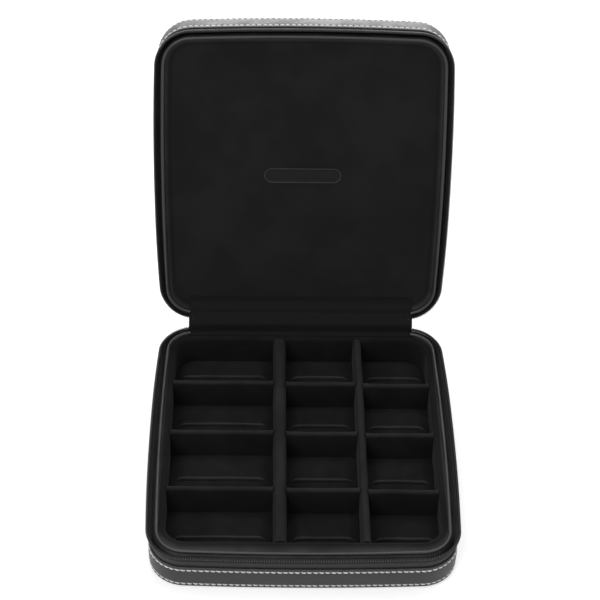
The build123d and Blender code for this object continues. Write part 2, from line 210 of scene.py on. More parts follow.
def field_outline():
    """Nine matching runs round the field of pockets, whose sides are straight."""
    r, left, right, front, back = FIELD_CORNER_R, FIELD_LEFT, FIELD_RIGHT, FIELD_FRONT, FIELD_BACK
    return [
        ("line", (0, back), (left + r, back)),
        ("arc", (left + r, back - r), r, QUARTER, 2 * QUARTER),
        ("line", (left, back - r), (left, front + r)),
        ("arc", (left + r, front + r), r, 2 * QUARTER, 3 * QUARTER),
        ("line", (left + r, front), (right - r, front)),
        ("arc", (right - r, front + r), r, 3 * QUARTER, 4 * QUARTER),
        ("line", (right, front + r), (right, back - r)),
        ("arc", (right - r, back - r), r, 4 * QUARTER, 5 * QUARTER),
        ("line", (right - r, back), (0, back)),
    ]


def ring(outline, t, inset=0.0):
    """Points and outward normals along an outline, moved inwards by an inset. t counts runs, so
    2.5 is halfway along the third."""
    t = np.asarray(t, float)
    points, normals = np.zeros((len(t), 2)), np.zeros((len(t), 2))
    which = np.minimum(np.floor(t + 1e-12).astype(int), len(outline) - 1)
    for k, run in enumerate(outline):
        here = which == k
        f = (t[here] - k)[:, None]
        if run[0] == "line":
            a, b = np.array(run[1], float), np.array(run[2], float)
            ahead = (b - a) / np.hypot(*(b - a))
            points[here] = a + (b - a) * f
            normals[here] = (ahead[1], -ahead[0])
        else:
            angle = run[3] + (run[4] - run[3]) * f[:, 0]
            normals[here] = np.stack([np.cos(angle), np.sin(angle)], axis=1)
            points[here] = np.array(run[1], float) + run[2] * normals[here]
    return points - normals * inset, normals


CASE, FIELD = case_outline(), field_outline()
CORNERS = (1, 3, 5, 7)
LAST_T = len(CASE)
RUNS = np.array([math.dist(r[1], r[2]) if r[0] == "line" else r[2] * abs(r[4] - r[3]) for r in CASE])
REACH = np.concatenate([[0], np.cumsum(RUNS)])


def stations(step, corner_step, gap=None):
    """Values of t round the outline, closer together in the corners. With a gap, they start and end
    that far in t from the middle of the hinge side."""
    steps = [corner_step if k in CORNERS else step for k in range(LAST_T)]
    counts = [max(1, math.ceil(length / s)) for length, s in zip(RUNS, steps)]
    t = np.concatenate([k + np.arange(n) / n for k, n in enumerate(counts)])
    if gap is None:
        return t
    inside = t[(t > gap + 0.002) & (t < LAST_T - gap - 0.002)]
    return np.concatenate([[gap], inside, [LAST_T - gap]])


def t_at_length(length):
    return np.interp(length, REACH, np.arange(LAST_T + 1))


def t_at_x(x):
    """Where the outline, going left from the middle of the hinge side, is that far out."""
    t = np.linspace(0, 2, 4001)
    return float(np.interp(x, -ring(CASE, t)[0][:, 0], t))


def lift(flat, z):
    """(n, 2) points given a height."""
    return np.column_stack([flat, np.broadcast_to(z, len(flat))])


def zip_flare(t):
    """How far the free zip tape leans out over the wall: not at all beside the hinge, most at the
    middle of the sides, less in the corners and along the front."""
    side = np.minimum(t, LAST_T - t)
    return ZIP_FLARE * smooth_step(side, 1.6, 2.3) * (1 - 0.45 * smooth_step(side, 2.7, 3.4))


def sweep(t, profile, flare=False):
    """Grid of points: each profile point (inset, z) carried round the case. With flare, the points
    above the wall lean out as zip_flare says."""
    rows = []
    for inset, z in profile:
        flat, normal = ring(CASE, t, inset)
        if flare:
            flat = flat + normal * (zip_flare(t) * smooth_step(z, 15.2, COIL_FOOT))[:, None]
        rows.append(lift(flat, z))
    return np.stack(rows, axis=1)


def ringed(outline, t, profile):
    """A list of rings at the profile's insets and heights."""
    return [lift(ring(outline, t, inset)[0], z) for inset, z in profile]


def arc(centre, radius, start, stop, count):
    """Points on an arc in the (inset, z) plane, angles in degrees."""
    a = np.radians(np.linspace(start, stop, count))
    return [(centre[0] + radius * math.cos(k), centre[1] + radius * math.sin(k)) for k in a]


def line_length(points):
    """Length of a line of flat points."""
    return float(np.hypot(*np.diff(np.array(points), axis=0).T).sum())


def unit(vectors):
    return vectors / np.linalg.norm(vectors, axis=-1, keepdims=True)


# ------------------------------------------------ meshes
def skin(points, wrap_u=False, wrap_v=False, caps=False, poles=False, wear_and_highlight=None):
    """A shell over a grid of points: wraps close it along u or v, caps close its two u ends with
    flat faces, and poles close its two v ends, each with one point in the middle."""
    nu, nv = points.shape[:2]
    i, j = np.arange(nu if wrap_u else nu - 1), np.arange(nv if wrap_v else nv - 1)
    i, j = (index.ravel() for index in np.meshgrid(i, j, indexing="ij"))
    i2, j2 = (i + 1) % nu, (j + 1) % nv
    u, v = (np.concatenate([[0], np.cumsum(np.linalg.norm(
        np.roll(points, -1, axis) - points, axis=2).mean(1 - axis))]) for axis in (0, 1))
    verts = points.reshape(-1, 3)
    faces = [np.stack([i * nv + j, i2 * nv + j, i2 * nv + j2, i * nv + j2], axis=1)]
    face_uv = [np.stack([u[[i, i + 1, i + 1, i]].T, v[[j, j, j + 1, j + 1]].T], axis=2)]
    if caps:
        for row, order in ((0, 1), (nu - 1, -1)):
            faces.append((row * nv + np.arange(nv)[::order])[None])
            face_uv.append(np.zeros((1, nv, 2)))
    if poles:
        k = np.arange(nu)
        for column, flip in ((0, True), (nv - 1, False)):
            centre = np.full(nu, len(verts))
            verts = np.vstack([verts, points[:, column].mean(0)])
            a, b = k * nv + column, ((k + 1) % nu) * nv + column
            faces.append(np.stack([b, a, centre] if flip else [a, b, centre], axis=1))
            face_uv.append(np.stack([np.stack([u[k], u[k] * 0], 1)] * 3, axis=1))
    wear_and_highlight = np.zeros((nu, nv)) if wear_and_highlight is None else np.broadcast_to(wear_and_highlight, (nu, nv))
    wear_and_highlight = np.concatenate([wear_and_highlight.ravel(), np.zeros(len(verts) - nu * nv)])
    volume = sum((verts[f[:, 0]] * np.cross(verts[f[:, n]], verts[f[:, n + 1]])).sum()
                 for f in faces for n in range(1, f.shape[1] - 1))
    if volume < 0:
        faces, face_uv = [f[:, ::-1] for f in faces], [f[:, ::-1] for f in face_uv]
    return {"verts": verts, "faces": faces, "uv": face_uv, "wear_and_highlight": wear_and_highlight}


def tube(grid, wear_and_highlight=None):
    """A shell that is closed round v and capped at its u ends."""
    return skin(grid, wrap_v=True, caps=True, wear_and_highlight=wear_and_highlight)


def many(shape, origin, axes):
    """One closed small shell repeated: shape is its (nu, nv, 3) grid, wrapped along v and capped at
    its u ends. Each copy has its origin and three axes."""
    nu, nv = shape.shape[:2]
    verts = origin[:, None] + np.einsum("pk,nkc->npc", shape.reshape(-1, 3), axes)
    single, first = tube(shape), (np.arange(len(origin)) * nu * nv)[:, None, None]
    faces = [(f[None] + first).reshape(-1, f.shape[1]) for f in single["faces"]]
    uv = [np.tile(g, (len(origin), 1, 1)) for g in single["uv"]]
    return {"verts": verts.reshape(-1, 3), "faces": faces, "uv": uv, "wear_and_highlight": np.zeros(verts.size // 3)}


def placed(name, data, columns=None):
    """An object in the scene. Columns are its x, y and z axes and its origin."""
    made = bpy.data.objects.new(name, data)
    if columns is not None:
        made.matrix_world = Matrix(np.vstack([np.column_stack(columns), [0, 0, 0, 1]]).tolist())
    bpy.context.scene.collection.objects.link(made)
    return made


def piece(name, shells, material, body, stands_for=(), lid=False, sharp=55):
    """Makes one object of some shells and places it. body is a body's name, which it is tied to, or
    (body, body, start, end), of which only the type is read: the transform is then baked in and it is tied
    to no body."""
    verts, faces, uv, wear_and_highlight, count = [], [], [], [], 0
    for shell in shells:
        verts.append(on_lid(shell["verts"]) if lid else shell["verts"])
        wear_and_highlight.append(shell["wear_and_highlight"])
        for f, g in zip(shell["faces"], shell["uv"]):
            faces += (f + count).tolist()
            uv.append(g.reshape(-1, 2))
        count += len(shell["verts"])
    mesh = bpy.data.meshes.new(name)
    mesh.from_pydata(np.concatenate(verts) / 1000, [], faces)
    mesh.uv_layers.new(name="UVMap").data.foreach_set("uv", np.concatenate(uv).astype(np.float32).ravel())
    mesh.attributes.new("wear_and_highlight", "FLOAT", "POINT").data.foreach_set(
        "value", np.concatenate(wear_and_highlight).astype(np.float32))
    mesh.update()
    mesh.polygons.foreach_set("use_smooth", np.ones(len(mesh.polygons), bool))
    mesh.set_sharp_from_angle(angle=math.radians(sharp))
    mesh.materials.append(material)
    made = placed(name, mesh)
    if isinstance(body, str):
        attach(made, body)
    else:
        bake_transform(made)
    if stands_for:
        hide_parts(*stands_for)
    return made


# ------------------------------------------------ finishes
def node(tree, kind, sockets=(), **settings):
    """Adds a shader node. Settings are its own properties, and sockets give each named or numbered
    input a value or another node's output."""
    made = tree.nodes.new("ShaderNode" + kind)
    for label, value in settings.items():
        setattr(made, label, value)
    for key, value in dict(sockets).items():
        if isinstance(value, bpy.types.NodeSocket):
            tree.links.new(value, made.inputs[key])
        else:
            made.inputs[key].default_value = value
    return made


def maths(tree, kind, a, b=None, clamp=False):
    sockets = {0: a} if b is None else {0: a, 1: b}
    return node(tree, "Math", sockets, operation=kind, use_clamp=clamp).outputs[0]


def noise(tree, vector, scale, detail=3.0, rough=0.55, kind="TexNoise"):
    return node(tree, kind, {"Vector": vector, "Scale": scale, "Detail": detail, "Roughness": rough})


def ramp(tree, value, low, high, out_low=0.0, out_high=1.0):
    """A value eased from one range to another."""
    return node(tree, "MapRange", {"Value": value, "From Min": low, "From Max": high, "To Min": out_low,
                                   "To Max": out_high}, interpolation_type="SMOOTHSTEP").outputs["Result"]


def mixed(tree, factor, a, b, **settings):
    return node(tree, "Mix", {"Factor": factor, "A": a, "B": b}, data_type="RGBA",
                **settings).outputs["Result"]


def place_of(tree):
    return node(tree, "TexCoord").outputs["Object"]


def map_of(tree):
    """Along and across in the piece's own UV map, which is in millimetres."""
    parts = node(tree, "SeparateXYZ", {0: node(tree, "UVMap", uv_map="UVMap").outputs[0]})
    return parts.outputs["X"], parts.outputs["Y"]


def group(build, inputs):
    """A node group with the builder's name. Inputs are its sockets' defaults by name. The builder
    adds the nodes and returns the outputs by name."""
    tree = bpy.data.node_groups.new(build.__name__, "ShaderNodeTree")
    for label, default in inputs.items():
        kind = "NodeSocketFloat" if isinstance(default, float) else "NodeSocketColor"
        tree.interface.new_socket(label, in_out="INPUT", socket_type=kind).default_value = default
    results = build(tree, tree.nodes.new("NodeGroupInput").outputs)
    for label, socket in results.items():
        kind = "NodeSocketColor" if socket.type == "RGBA" else "NodeSocketFloat"
        tree.interface.new_socket(label, in_out="OUTPUT", socket_type=kind)
    out = tree.nodes.new("NodeGroupOutput")
    for label, socket in results.items():
        tree.links.new(socket, out.inputs[label])
    return tree


def leather_grain(tree, given):
    """Pebbled leather: rounded cells with creases between them, over fine pores. Size is a cell's
    width in metres. The Crease mask is where painted shade darkens the colour."""
    where, scale = place_of(tree), maths(tree, "DIVIDE", 1.0, given["Size"])
    bend = noise(tree, where, maths(tree, "MULTIPLY", scale, 0.35), 2.0)
    pushed = node(tree, "VectorMath", {0: bend.outputs["Color"], 1: (0.0006, 0.0006, 0.0006), 2: where},
                  operation="MULTIPLY_ADD")
    cells = noise(tree, pushed.outputs[0], scale, kind="TexVoronoi")
    cells.feature = "DISTANCE_TO_EDGE"
    plateau = ramp(tree, cells.outputs["Distance"], 0.0, 0.32)
    pores = noise(tree, where, maths(tree, "MULTIPLY", scale, 3.1), 2.0)
    return {"Height": maths(tree, "ADD", plateau, maths(tree, "MULTIPLY", pores.outputs["Fac"], 0.35)),
            "Crease": maths(tree, "SUBTRACT", 1.0, plateau)}


def uneven_dye(tree, given):
    """Two colours mixed in soft patches. Patch is a patch's rough size in metres."""
    patches = noise(tree, place_of(tree), maths(tree, "DIVIDE", 1.0, given["Patch"]), 4.0, 0.6)
    mask = ramp(tree, patches.outputs["Fac"], 0.3, 0.7)
    return {"Colour": mixed(tree, mask, given["Dark"], given["Light"]), "Mask": mask}


def velour_pile(tree, given):
    """Short velour pile: fine fibres, tufts, and broad strokes where the nap is swept over. The
    strokes' mask, Nap, is where painted shade darkens the colour.
    """
    where = place_of(tree)
    fibre = noise(tree, where, maths(tree, "DIVIDE", 1.0, given["Fibre"]), 3.0, 0.7)
    tuft = noise(tree, where, maths(tree, "DIVIDE", 0.22, given["Fibre"]), 2.0)
    # The nap strokes below feed only the painted shade, not the relief.
    painted_light_marks = node(tree, "Mapping", {"Vector": where, "Rotation": (0, 0, 0.5), "Scale": (1.0, 0.45, 1.0)})
    stroke = noise(tree, painted_light_marks.outputs[0], maths(tree, "DIVIDE", 1.0, given["Stroke"]), 3.0)
    return {"Height": maths(tree, "ADD", fibre.outputs["Fac"],
                            maths(tree, "MULTIPLY", tuft.outputs["Fac"], 0.8)),
            "Nap": ramp(tree, stroke.outputs["Fac"], 0.35, 0.65)}


def waves(tree, value, pitch):
    """A sine that repeats every pitch."""
    return maths(tree, "SINE", maths(tree, "MULTIPLY", maths(tree, "DIVIDE", value, pitch), 6.2832))


def tape_weave(tree, given):
    """Herringbone tape: ribs slanting one way then the other across each band. Pitch is a rib's
    width and Band a band's."""
    along, across = map_of(tree)
    fold = maths(tree, "PINGPONG", maths(tree, "DIVIDE", across, given["Band"]), 1.0)
    slanted = maths(tree, "ADD", along, maths(tree, "MULTIPLY", fold, given["Band"]))
    rib = maths(tree, "MULTIPLY", waves(tree, slanted, given["Pitch"]), 0.5)
    thread = maths(tree, "MULTIPLY", maths(tree, "DIVIDE", across, given["Pitch"]), 9.0)
    cross = maths(tree, "MULTIPLY", maths(tree, "SINE", thread), 0.2)
    return {"Height": maths(tree, "ADD", rib, cross)}


def thread_twist(tree, given):
    """Twisted thread: slanting plies round each stitch."""
    return {"Height": waves(tree, maths(tree, "ADD", *map_of(tree)), given["Ply"])}


def rubbed_edge_and_highlight(tree, given):
    """Rubbed edges and painted highlights: the piece's attribute for both, broken up by noise as far as Even
    lets it.
    """
    mark = node(tree, "Attribute", attribute_name="wear_and_highlight")
    broken = ramp(tree, noise(tree, place_of(tree), 260.0, 4.0, 0.65).outputs["Fac"], 0.38, 0.68)
    kept = maths(tree, "MAXIMUM", broken, given["Even"])
    return {"Mask": maths(tree, "MULTIPLY", mark.outputs["Fac"], kept, clamp=True)}


GRAIN = group(leather_grain, {"Size": 0.0007})
TONE = group(uneven_dye, {"Dark": (0, 0, 0, 1), "Light": (1, 1, 1, 1), "Patch": 0.02})
PILE = group(velour_pile, {"Fibre": 0.00022, "Stroke": 0.016})
WEAVE = group(tape_weave, {"Pitch": 0.45, "Band": 1.6})
TWIST = group(thread_twist, {"Ply": 0.35})
# One lighter-colour mask serves rubbed edges on leather and metal and painted highlights on velour and the
# badge.
WEAR_AND_HIGHLIGHT = group(rubbed_edge_and_highlight, {"Even": 0.0})
# Painted shade: the colour is darkened in the leather grain's creases and along the velour's nap strokes.
PAINTED_SHADE_MASKS = {GRAIN: "Crease", PILE: "Nap"}


def finish(name, dark, light, patch, rough, relief=None, sizes=(), depth=0.0001, strength=0.6,
           wear_and_highlight_colour=None, even=0.0, **constants):
    """A material: uneven dye on Base Color, roughness that follows it, a relief from one group, and a
    lighter colour where one is
    given: rubbed edges on leather and metal, painted highlights on velour and the badge. Painted shade
    darkens the colour where the relief has a crease or stroke mask. Constants go straight onto the shader's
    sockets."""
    material = bpy.data.materials.new(name)
    material.use_nodes = True
    tree = material.node_tree
    shader = tree.nodes["Principled BSDF"]
    for label, value in constants.items():
        shader.inputs[label.replace("_", " ")].default_value = value
    tone = node(tree, "Group", {"Dark": (*dark, 1), "Light": (*light, 1), "Patch": patch}, node_tree=TONE)
    colour, roughness = tone.outputs["Colour"], ramp(tree, tone.outputs["Mask"], 0, 1, *rough)
    # Lighter colour from that mask: rubbed edges, and painted highlights on velour and the badge.
    if wear_and_highlight_colour is not None:
        worn_and_lit = node(tree, "Group", {"Even": even}, node_tree=WEAR_AND_HIGHLIGHT)
        colour = mixed(tree, worn_and_lit.outputs["Mask"], colour, (*wear_and_highlight_colour, 1))
    tree.links.new(roughness, shader.inputs["Roughness"])
    if relief is not None:
        raised = node(tree, "Group", sizes, node_tree=relief)
        bump = node(tree, "Bump", {"Distance": depth, "Strength": strength,
                                   "Height": raised.outputs["Height"]})
        tree.links.new(bump.outputs["Normal"], shader.inputs["Normal"])
        # Painted shade: multiplies the colour darker where the crease or stroke mask is high.
        if relief in PAINTED_SHADE_MASKS:
            shade = maths(tree, "MULTIPLY", raised.outputs[PAINTED_SHADE_MASKS[relief]], 0.6)
            colour = mixed(tree, shade, colour, (0.45, 0.45, 0.45, 1), blend_type="MULTIPLY")
    tree.links.new(colour, shader.inputs["Base Color"])
    return material


LEATHER = finish("black_leather", (0.021, 0.021, 0.022), (0.028, 0.028, 0.029), 0.012, (0.42, 0.54),
                 GRAIN, {"Size": 0.0008}, 0.00012, 0.55, wear_and_highlight_colour=(0.085, 0.082, 0.078))
PIPING = finish("piping_leather", (0.020, 0.020, 0.021), (0.032, 0.032, 0.033), 0.02, (0.34, 0.48),
                GRAIN, {"Size": 0.00045}, 0.00005, 0.5, wear_and_highlight_colour=(0.09, 0.088, 0.085))
TAPE = finish("zip_tape_weave", (0.010, 0.010, 0.011), (0.018, 0.018, 0.019), 0.012, (0.75, 0.9),
              WEAVE, {}, 0.00006, 0.6, Sheen_Weight=0.1, Specular_IOR_Level=0.25)
COIL = finish("nylon_coil", (0.012, 0.012, 0.013), (0.022, 0.022, 0.023), 0.004, (0.3, 0.42))
# The velour's lighter colour is a painted highlight on divider tops, cushion lips and the tray rim beside
# the piping.
VELOUR = finish("black_velour", (0.0065, 0.0065, 0.007), (0.0105, 0.0105, 0.011), 0.018, (0.9, 1.0),
                PILE, {}, 0.00012, 0.5, wear_and_highlight_colour=(0.055, 0.055, 0.057), even=0.75, Sheen_Weight=0.03,
                Sheen_Roughness=0.5, Specular_IOR_Level=0.12)
# The lid velour's lighter colour is a painted highlight along the rim's inner edge.
LID_VELOUR = finish("lid_velour", (0.0065, 0.0065, 0.007), (0.0105, 0.0105, 0.011), 0.035, (0.88, 0.98),
                    PILE, {"Stroke": 0.03}, 0.0001, 0.45, wear_and_highlight_colour=(0.04, 0.04, 0.042), even=0.75,
                    Sheen_Weight=0.12, Sheen_Roughness=0.45, Specular_IOR_Level=0.15)
LINING = finish("hinge_lining_cloth", (0.0045, 0.0045, 0.0048), (0.0085, 0.0085, 0.009), 0.02,
                (0.82, 0.95), WEAVE, {"Pitch": 0.3, "Band": 0.3}, 0.00004, 0.5, Specular_IOR_Level=0.15)
THREAD = finish("waxed_thread", (0.78, 0.77, 0.74), (0.92, 0.91, 0.88), 0.006, (0.55, 0.7),
                TWIST, {}, 0.00006, 0.7)
BOARD = finish("pressed_board", (0.24, 0.19, 0.13), (0.36, 0.29, 0.2), 0.01, (0.85, 0.95),
               PILE, {"Fibre": 0.0004}, 0.00005)
FIBRE = finish("black_fibreboard", (0.008, 0.008, 0.0085), (0.014, 0.014, 0.0145), 0.008, (0.8, 0.92),
               PILE, {"Fibre": 0.0004}, 0.00005)
FOAM = finish("padding_foam", (0.24, 0.24, 0.23), (0.33, 0.33, 0.32), 0.004, (0.9, 1.0),
              PILE, {"Fibre": 0.0006}, 0.0003)
METAL = finish("black_nickel", (0.10, 0.10, 0.105), (0.16, 0.16, 0.165), 0.004, (0.2, 0.34),
               wear_and_highlight_colour=(0.42, 0.41, 0.4), Metallic=1.0)
# The badge's lighter colour is a painted highlight along its raised rib.
PRESSED = finish("pressed_badge", (0.0045, 0.0045, 0.0048), (0.008, 0.008, 0.0085), 0.006, (0.62, 0.75),
                 GRAIN, {"Size": 0.0004}, 0.00003, 0.4, wear_and_highlight_colour=(0.07, 0.07, 0.071), even=0.8,
                 Specular_IOR_Level=0.2)

# ------------------------------------------------ leather shells
WALL_SWELL, STITCH_DENT, SEAM_DENT = 0.28, 0.3, 0.25
COVER_SCALES = (0.1, 0.3, 0.5, 0.7, 0.85, 0.95)


def wall_inset(z):
    """How far in the leather's face lies at a height: it swells between the two rows of stitches,
    and is drawn in along each row and at the seam above the cover."""
    between = np.clip((z - STITCH_LOW) / (STITCH_HIGH - STITCH_LOW), 0, 1)
    rows = STITCH_DENT * (hump(z, STITCH_LOW, 0.5) + hump(z, STITCH_HIGH, 0.55))
    return -WALL_SWELL * np.sin(np.pi * between) + rows + SEAM_DENT * hump(z, 1.0, 0.2)


def shell_profile():
    """(inset, z) from the foot of the cover, up the outside, over the folded edge and down inside."""
    foot = [(1.5, 0.0)] + arc((0.8, 0.8), 0.8, 270, 180, 6)[:-1]
    heights = np.concatenate([np.linspace(0.8, 2.2, 9), np.linspace(2.4, 4.0, 7),
                              np.linspace(4.6, 11.6, 8), np.linspace(12.0, 14.2, 9)])
    outside = [(float(wall_inset(z)) if z > 0.81 else 0.0, z) for z in heights]
    fold = [(0.6 - 0.55 * math.cos(a), WALL_TOP - 0.6 + 0.6 * math.sin(a))
            for a in np.radians(np.linspace(15, 165, 7))]
    inside = [(SHELL_THICK, 13.8), (SHELL_THICK, 8.0), (SHELL_THICK, 1.3), (1.5, 1.0)]
    return foot + outside + fold + inside


def leather_shell():
    """The cover and its wall as one closed skin: rings of the outline shrunk towards the middle of
    the underside, the wall's profile carried round, and the same rings again inside."""
    wall = sweep(stations(3.0, 1.4), shell_profile())
    under = np.stack([wall[:, 0] * (k, k, 1) for k in COVER_SCALES], axis=1)
    inner = np.stack([wall[:, -1] * (k, k, 1) for k in COVER_SCALES[::-1]], axis=1)
    grid = np.concatenate([under, wall, inner], axis=1)
    edge = 0.6 * (hump(grid[..., 2], 0.5, 0.7) + hump(grid[..., 2], WALL_TOP, 0.5))
    edge[:, :len(COVER_SCALES)] = edge[:, -len(COVER_SCALES):] = 0
    return skin(grid, wrap_u=True, poles=True, wear_and_highlight=edge)


for side in ("base", "lid"):
    piece(f"{side}_shell", [leather_shell()], LEATHER, side, [f"{side}_cover", f"{side}_wall"],
          lid=side == "lid")

# ------------------------------------------------ stitches
STITCH_TILT = -0.19


def stitch_shape(length, radius):
    """One stitch: a round thread that rises out of its hole, lies along the leather and goes down
    again. Its height over the leather is a half sine with blunt ends."""
    a = np.linspace(0, 1, 8)
    rise = radius * (1.25 * np.sin(np.pi * a) ** 0.6 - 0.75)
    thick = (radius * (0.55 + 0.45 * np.sin(np.pi * a) ** 0.5))[:, None]
    out = rise[:, None] + thick * np.cos(around(6))
    up = thick * 1.1 * np.sin(around(6))
    return np.stack([np.broadcast_to(((a - 0.5) * length)[:, None], out.shape), out, up], axis=2)


def stitch_row(z, seed):
    """A row of slightly uneven stitches right round the wall at one height. The upper row stands
    out where it goes over the spine."""
    rng = np.random.default_rng(seed)
    count = int(round(REACH[-1] / STITCH_PITCH))
    length = (np.arange(count) + 0.5 + rng.uniform(-0.05, 0.05, count)) * REACH[-1] / count
    flat, normal = ring(CASE, t_at_length(length), float(wall_inset(z)))
    if z == STITCH_HIGH:
        behind, x = flat[:, 1] > 0, np.abs(flat[:, 0])
        over, near = behind & (x < SPINE_HALF - 1), behind & (np.abs(x - SPINE_HALF) <= 1)
        flat = flat + normal * (1.1 * over + 0.7 * near)[:, None]
    tilt = (STITCH_TILT + rng.uniform(-0.05, 0.05, count))[:, None]
    tangent = lift(np.stack([-normal[:, 1], normal[:, 0]], axis=1), 0)
    along = tangent * np.cos(tilt) + UP * np.sin(tilt)
    rise = UP * np.cos(tilt) - tangent * np.sin(tilt)
    axes = np.stack([along, lift(normal, 0), rise], axis=1)
    return many(stitch_shape(3.15, 0.45), lift(flat, z + rng.uniform(-0.06, 0.06, count)), axes)


for side, seed in (("base", 3), ("lid", 5)):
    piece(f"{side}_stitches", [stitch_row(STITCH_LOW, seed), stitch_row(STITCH_HIGH, seed + 1)],
          THREAD, side, lid=side == "lid")

# ------------------------------------------------ zip tape, coil and piping
GAP_T = t_at_x(LINING_HALF)
TAPE_T = stations(3.0, 1.3, GAP_T)
TAPE_HEIGHTS = np.array([11.5, 13.5, 15.0, 16.0, 17.5, 19.0, 20.5, COIL_FOOT])
COIL_MIDDLE = (COIL_FOOT + COIL_TOP) / 2


def tape_profile():
    """Closed (inset, z) loop of the tape: up inside the wall, then leaning out to the coil."""
    foot = SHELL_THICK + SKIN_GAP
    outside = list(zip(foot - foot * smooth_step(TAPE_HEIGHTS, 14.6, 21.2), TAPE_HEIGHTS))
    inside = [(i + TAPE_THICK, k) for i, k in outside[::-1]]
    return outside + [(TAPE_THICK / 2, COIL_FOOT + 0.25)] + inside


def coil_run(middle, normal, half_across, half_up, turns):
    """A filament wound round a straight or curved core: each of its points goes round an oval
    whose middle moves along the core. middle and normal are functions of the share of the core."""
    a = np.arange(int(turns * 12) + 1) / 12
    angle = (2 * np.pi * a)[:, None]
    across = normal(a / turns)
    line = middle(a / turns) + across * half_across * np.cos(angle) + UP * half_up * np.sin(angle)
    ahead = unit(np.gradient(line, axis=0))
    side = unit(np.cross(ahead, np.cross(across, UP)))
    other = np.cross(ahead, side)
    turn = around(5)[None, :, None]
    return tube(line[:, None] + COIL_WIRE_R * (side[:, None] * np.cos(turn) + other[:, None] * np.sin(turn)))


def zip_coil():
    """The nylon coil on the tape's edge, from one end of the hinge lining round to the other."""
    start, stop = np.interp([GAP_T, LAST_T - GAP_T], np.arange(LAST_T + 1), REACH)

    def place(f):
        t = t_at_length(start + (stop - start) * f)
        flat, normal = ring(CASE, t, COIL_INSET)
        return flat + normal * zip_flare(t)[:, None], normal

    return coil_run(lambda f: lift(place(f)[0], COIL_MIDDLE), lambda f: lift(place(f)[1], 0),
                    0.57, (COIL_TOP - COIL_FOOT) / 2 - COIL_WIRE_R, round((stop - start) / COIL_PITCH))


def core_cord():
    """The woven core that the coil is wound round: an oval carried round the case."""
    oval = [(COIL_INSET + 0.33 * math.cos(a), COIL_MIDDLE - 0.15 + 0.62 * math.sin(a)) for a in around(8)]
    return tube(sweep(stations(3.5, 1.6, GAP_T), oval, True))


def piping(inset):
    """Round bead with its seam allowance: the bead's circle, and a tail that runs down and out to
    stand on the frame beside the tape."""
    bead, foot = arc((inset, PIPING_Z), PIPING_R, 235, 235 - 318, 15), FRAME_TOP + 0.1
    tail = [(inset - 0.75, 21.9), (inset - 1.25, 21.3), (2.35, 20.2), (2.1, foot)]
    back = [(2.75, foot), (2.85, 20.0), (min(inset - 0.75, 3.15), 21.2)]
    return tube(sweep(TAPE_T, bead[::-1] + tail + back))


TAPE_LENGTH = line_length(ring(CASE, TAPE_T, 0.9)[0])
for side, bead_inset in (("base", BASE_PIPING_INSET), ("lid", LID_PIPING_INSET)):
    on = side == "lid"
    tape = tube(sweep(TAPE_T, tape_profile(), True))
    woven = piece(f"{side}_zip_tape_woven", [tape], TAPE, side, [f"{side}_zip_tape"], lid=on)
    piece(f"{side}_zip_core_cord", [core_cord()], TAPE, side, lid=on)
    piece(f"{side}_zip_coil_wound", [zip_coil()], COIL, side, [f"{side}_zip_coil"], lid=on)
    piece(f"{side}_piping_bead", [piping(bead_inset)], PIPING, side, [f"{side}_piping"], lid=on)

# ------------------------------------------------ velour tray
RIM_ROUND = 2.7


def tray_rim():
    """Velour over the padded rim and down the pockets' outer walls. Rings go from the case's outline
    to the field of pockets: up beside the piping, over a crown that slopes down to the pockets, round
    the edge and down a wall with a slight lean. A painted highlight makes it lightest beside the piping."""
    t = stations(2.6, 1.2)
    face = TRAY_INSET + SKIN_GAP
    rows = ringed(CASE, t, [(face, TRAY_Z + SEAT), (face, 12.0), (face, 20.8), (TRAY_INSET + 0.25, 21.6),
                            (TRAY_INSET + 0.7, 21.9)])
    # Painted highlight: lightest beside the piping, fading towards the pockets.
    pile = [0.0] * len(rows)
    near, far = ring(CASE, t, 5.1)[0], ring(FIELD, t, -2.9)[0]
    lined = near[:, 1] > FIELD_BACK
    for w in np.linspace(0, 1, 8):
        flat = near + (far - near) * w
        soft = np.minimum(0.12 * wander(flat[:, 0], flat[:, 1], 11, 17.0), 0.05)
        crown = np.where(lined, 0.0, 0.72 * (1 - smooth_step(w, 0.0, 1.25)))
        rows.append(lift(flat, RIM_TOP - 0.06 + crown + soft))
        pile.append(1.3 * (1 - w) ** 1.2)
    rows += ringed(FIELD, t, [(-RIM_ROUND + RIM_ROUND * math.cos(a), RIM_TOP - SEAT - RIM_ROUND
                               + RIM_ROUND * math.sin(a)) for a in np.radians(np.linspace(78, 6, 8))])
    flat, normal = ring(FIELD, t)
    for z in (18.0, 14.0, 10.0, 6.5, TRAY_Z + 0.3):
        lean = 0.12 * wander(flat[:, 0] + flat[:, 1], z + 0 * flat[:, 0], 12, 21.0) - 0.08
        rows.append(lift(flat - normal * np.minimum(lean, 0.04)[:, None], z))
    rows += ringed(FIELD, t, [(-0.6, TRAY_Z + SEAT)])
    pile += [0.0] * (len(rows) - len(pile))
    return skin(np.stack(rows, axis=1), wrap_u=True, wrap_v=True, wear_and_highlight=np.array(pile)[None])


piece("tray_rim_velour", [tray_rim()], VELOUR, "base", ["tray_rim"])


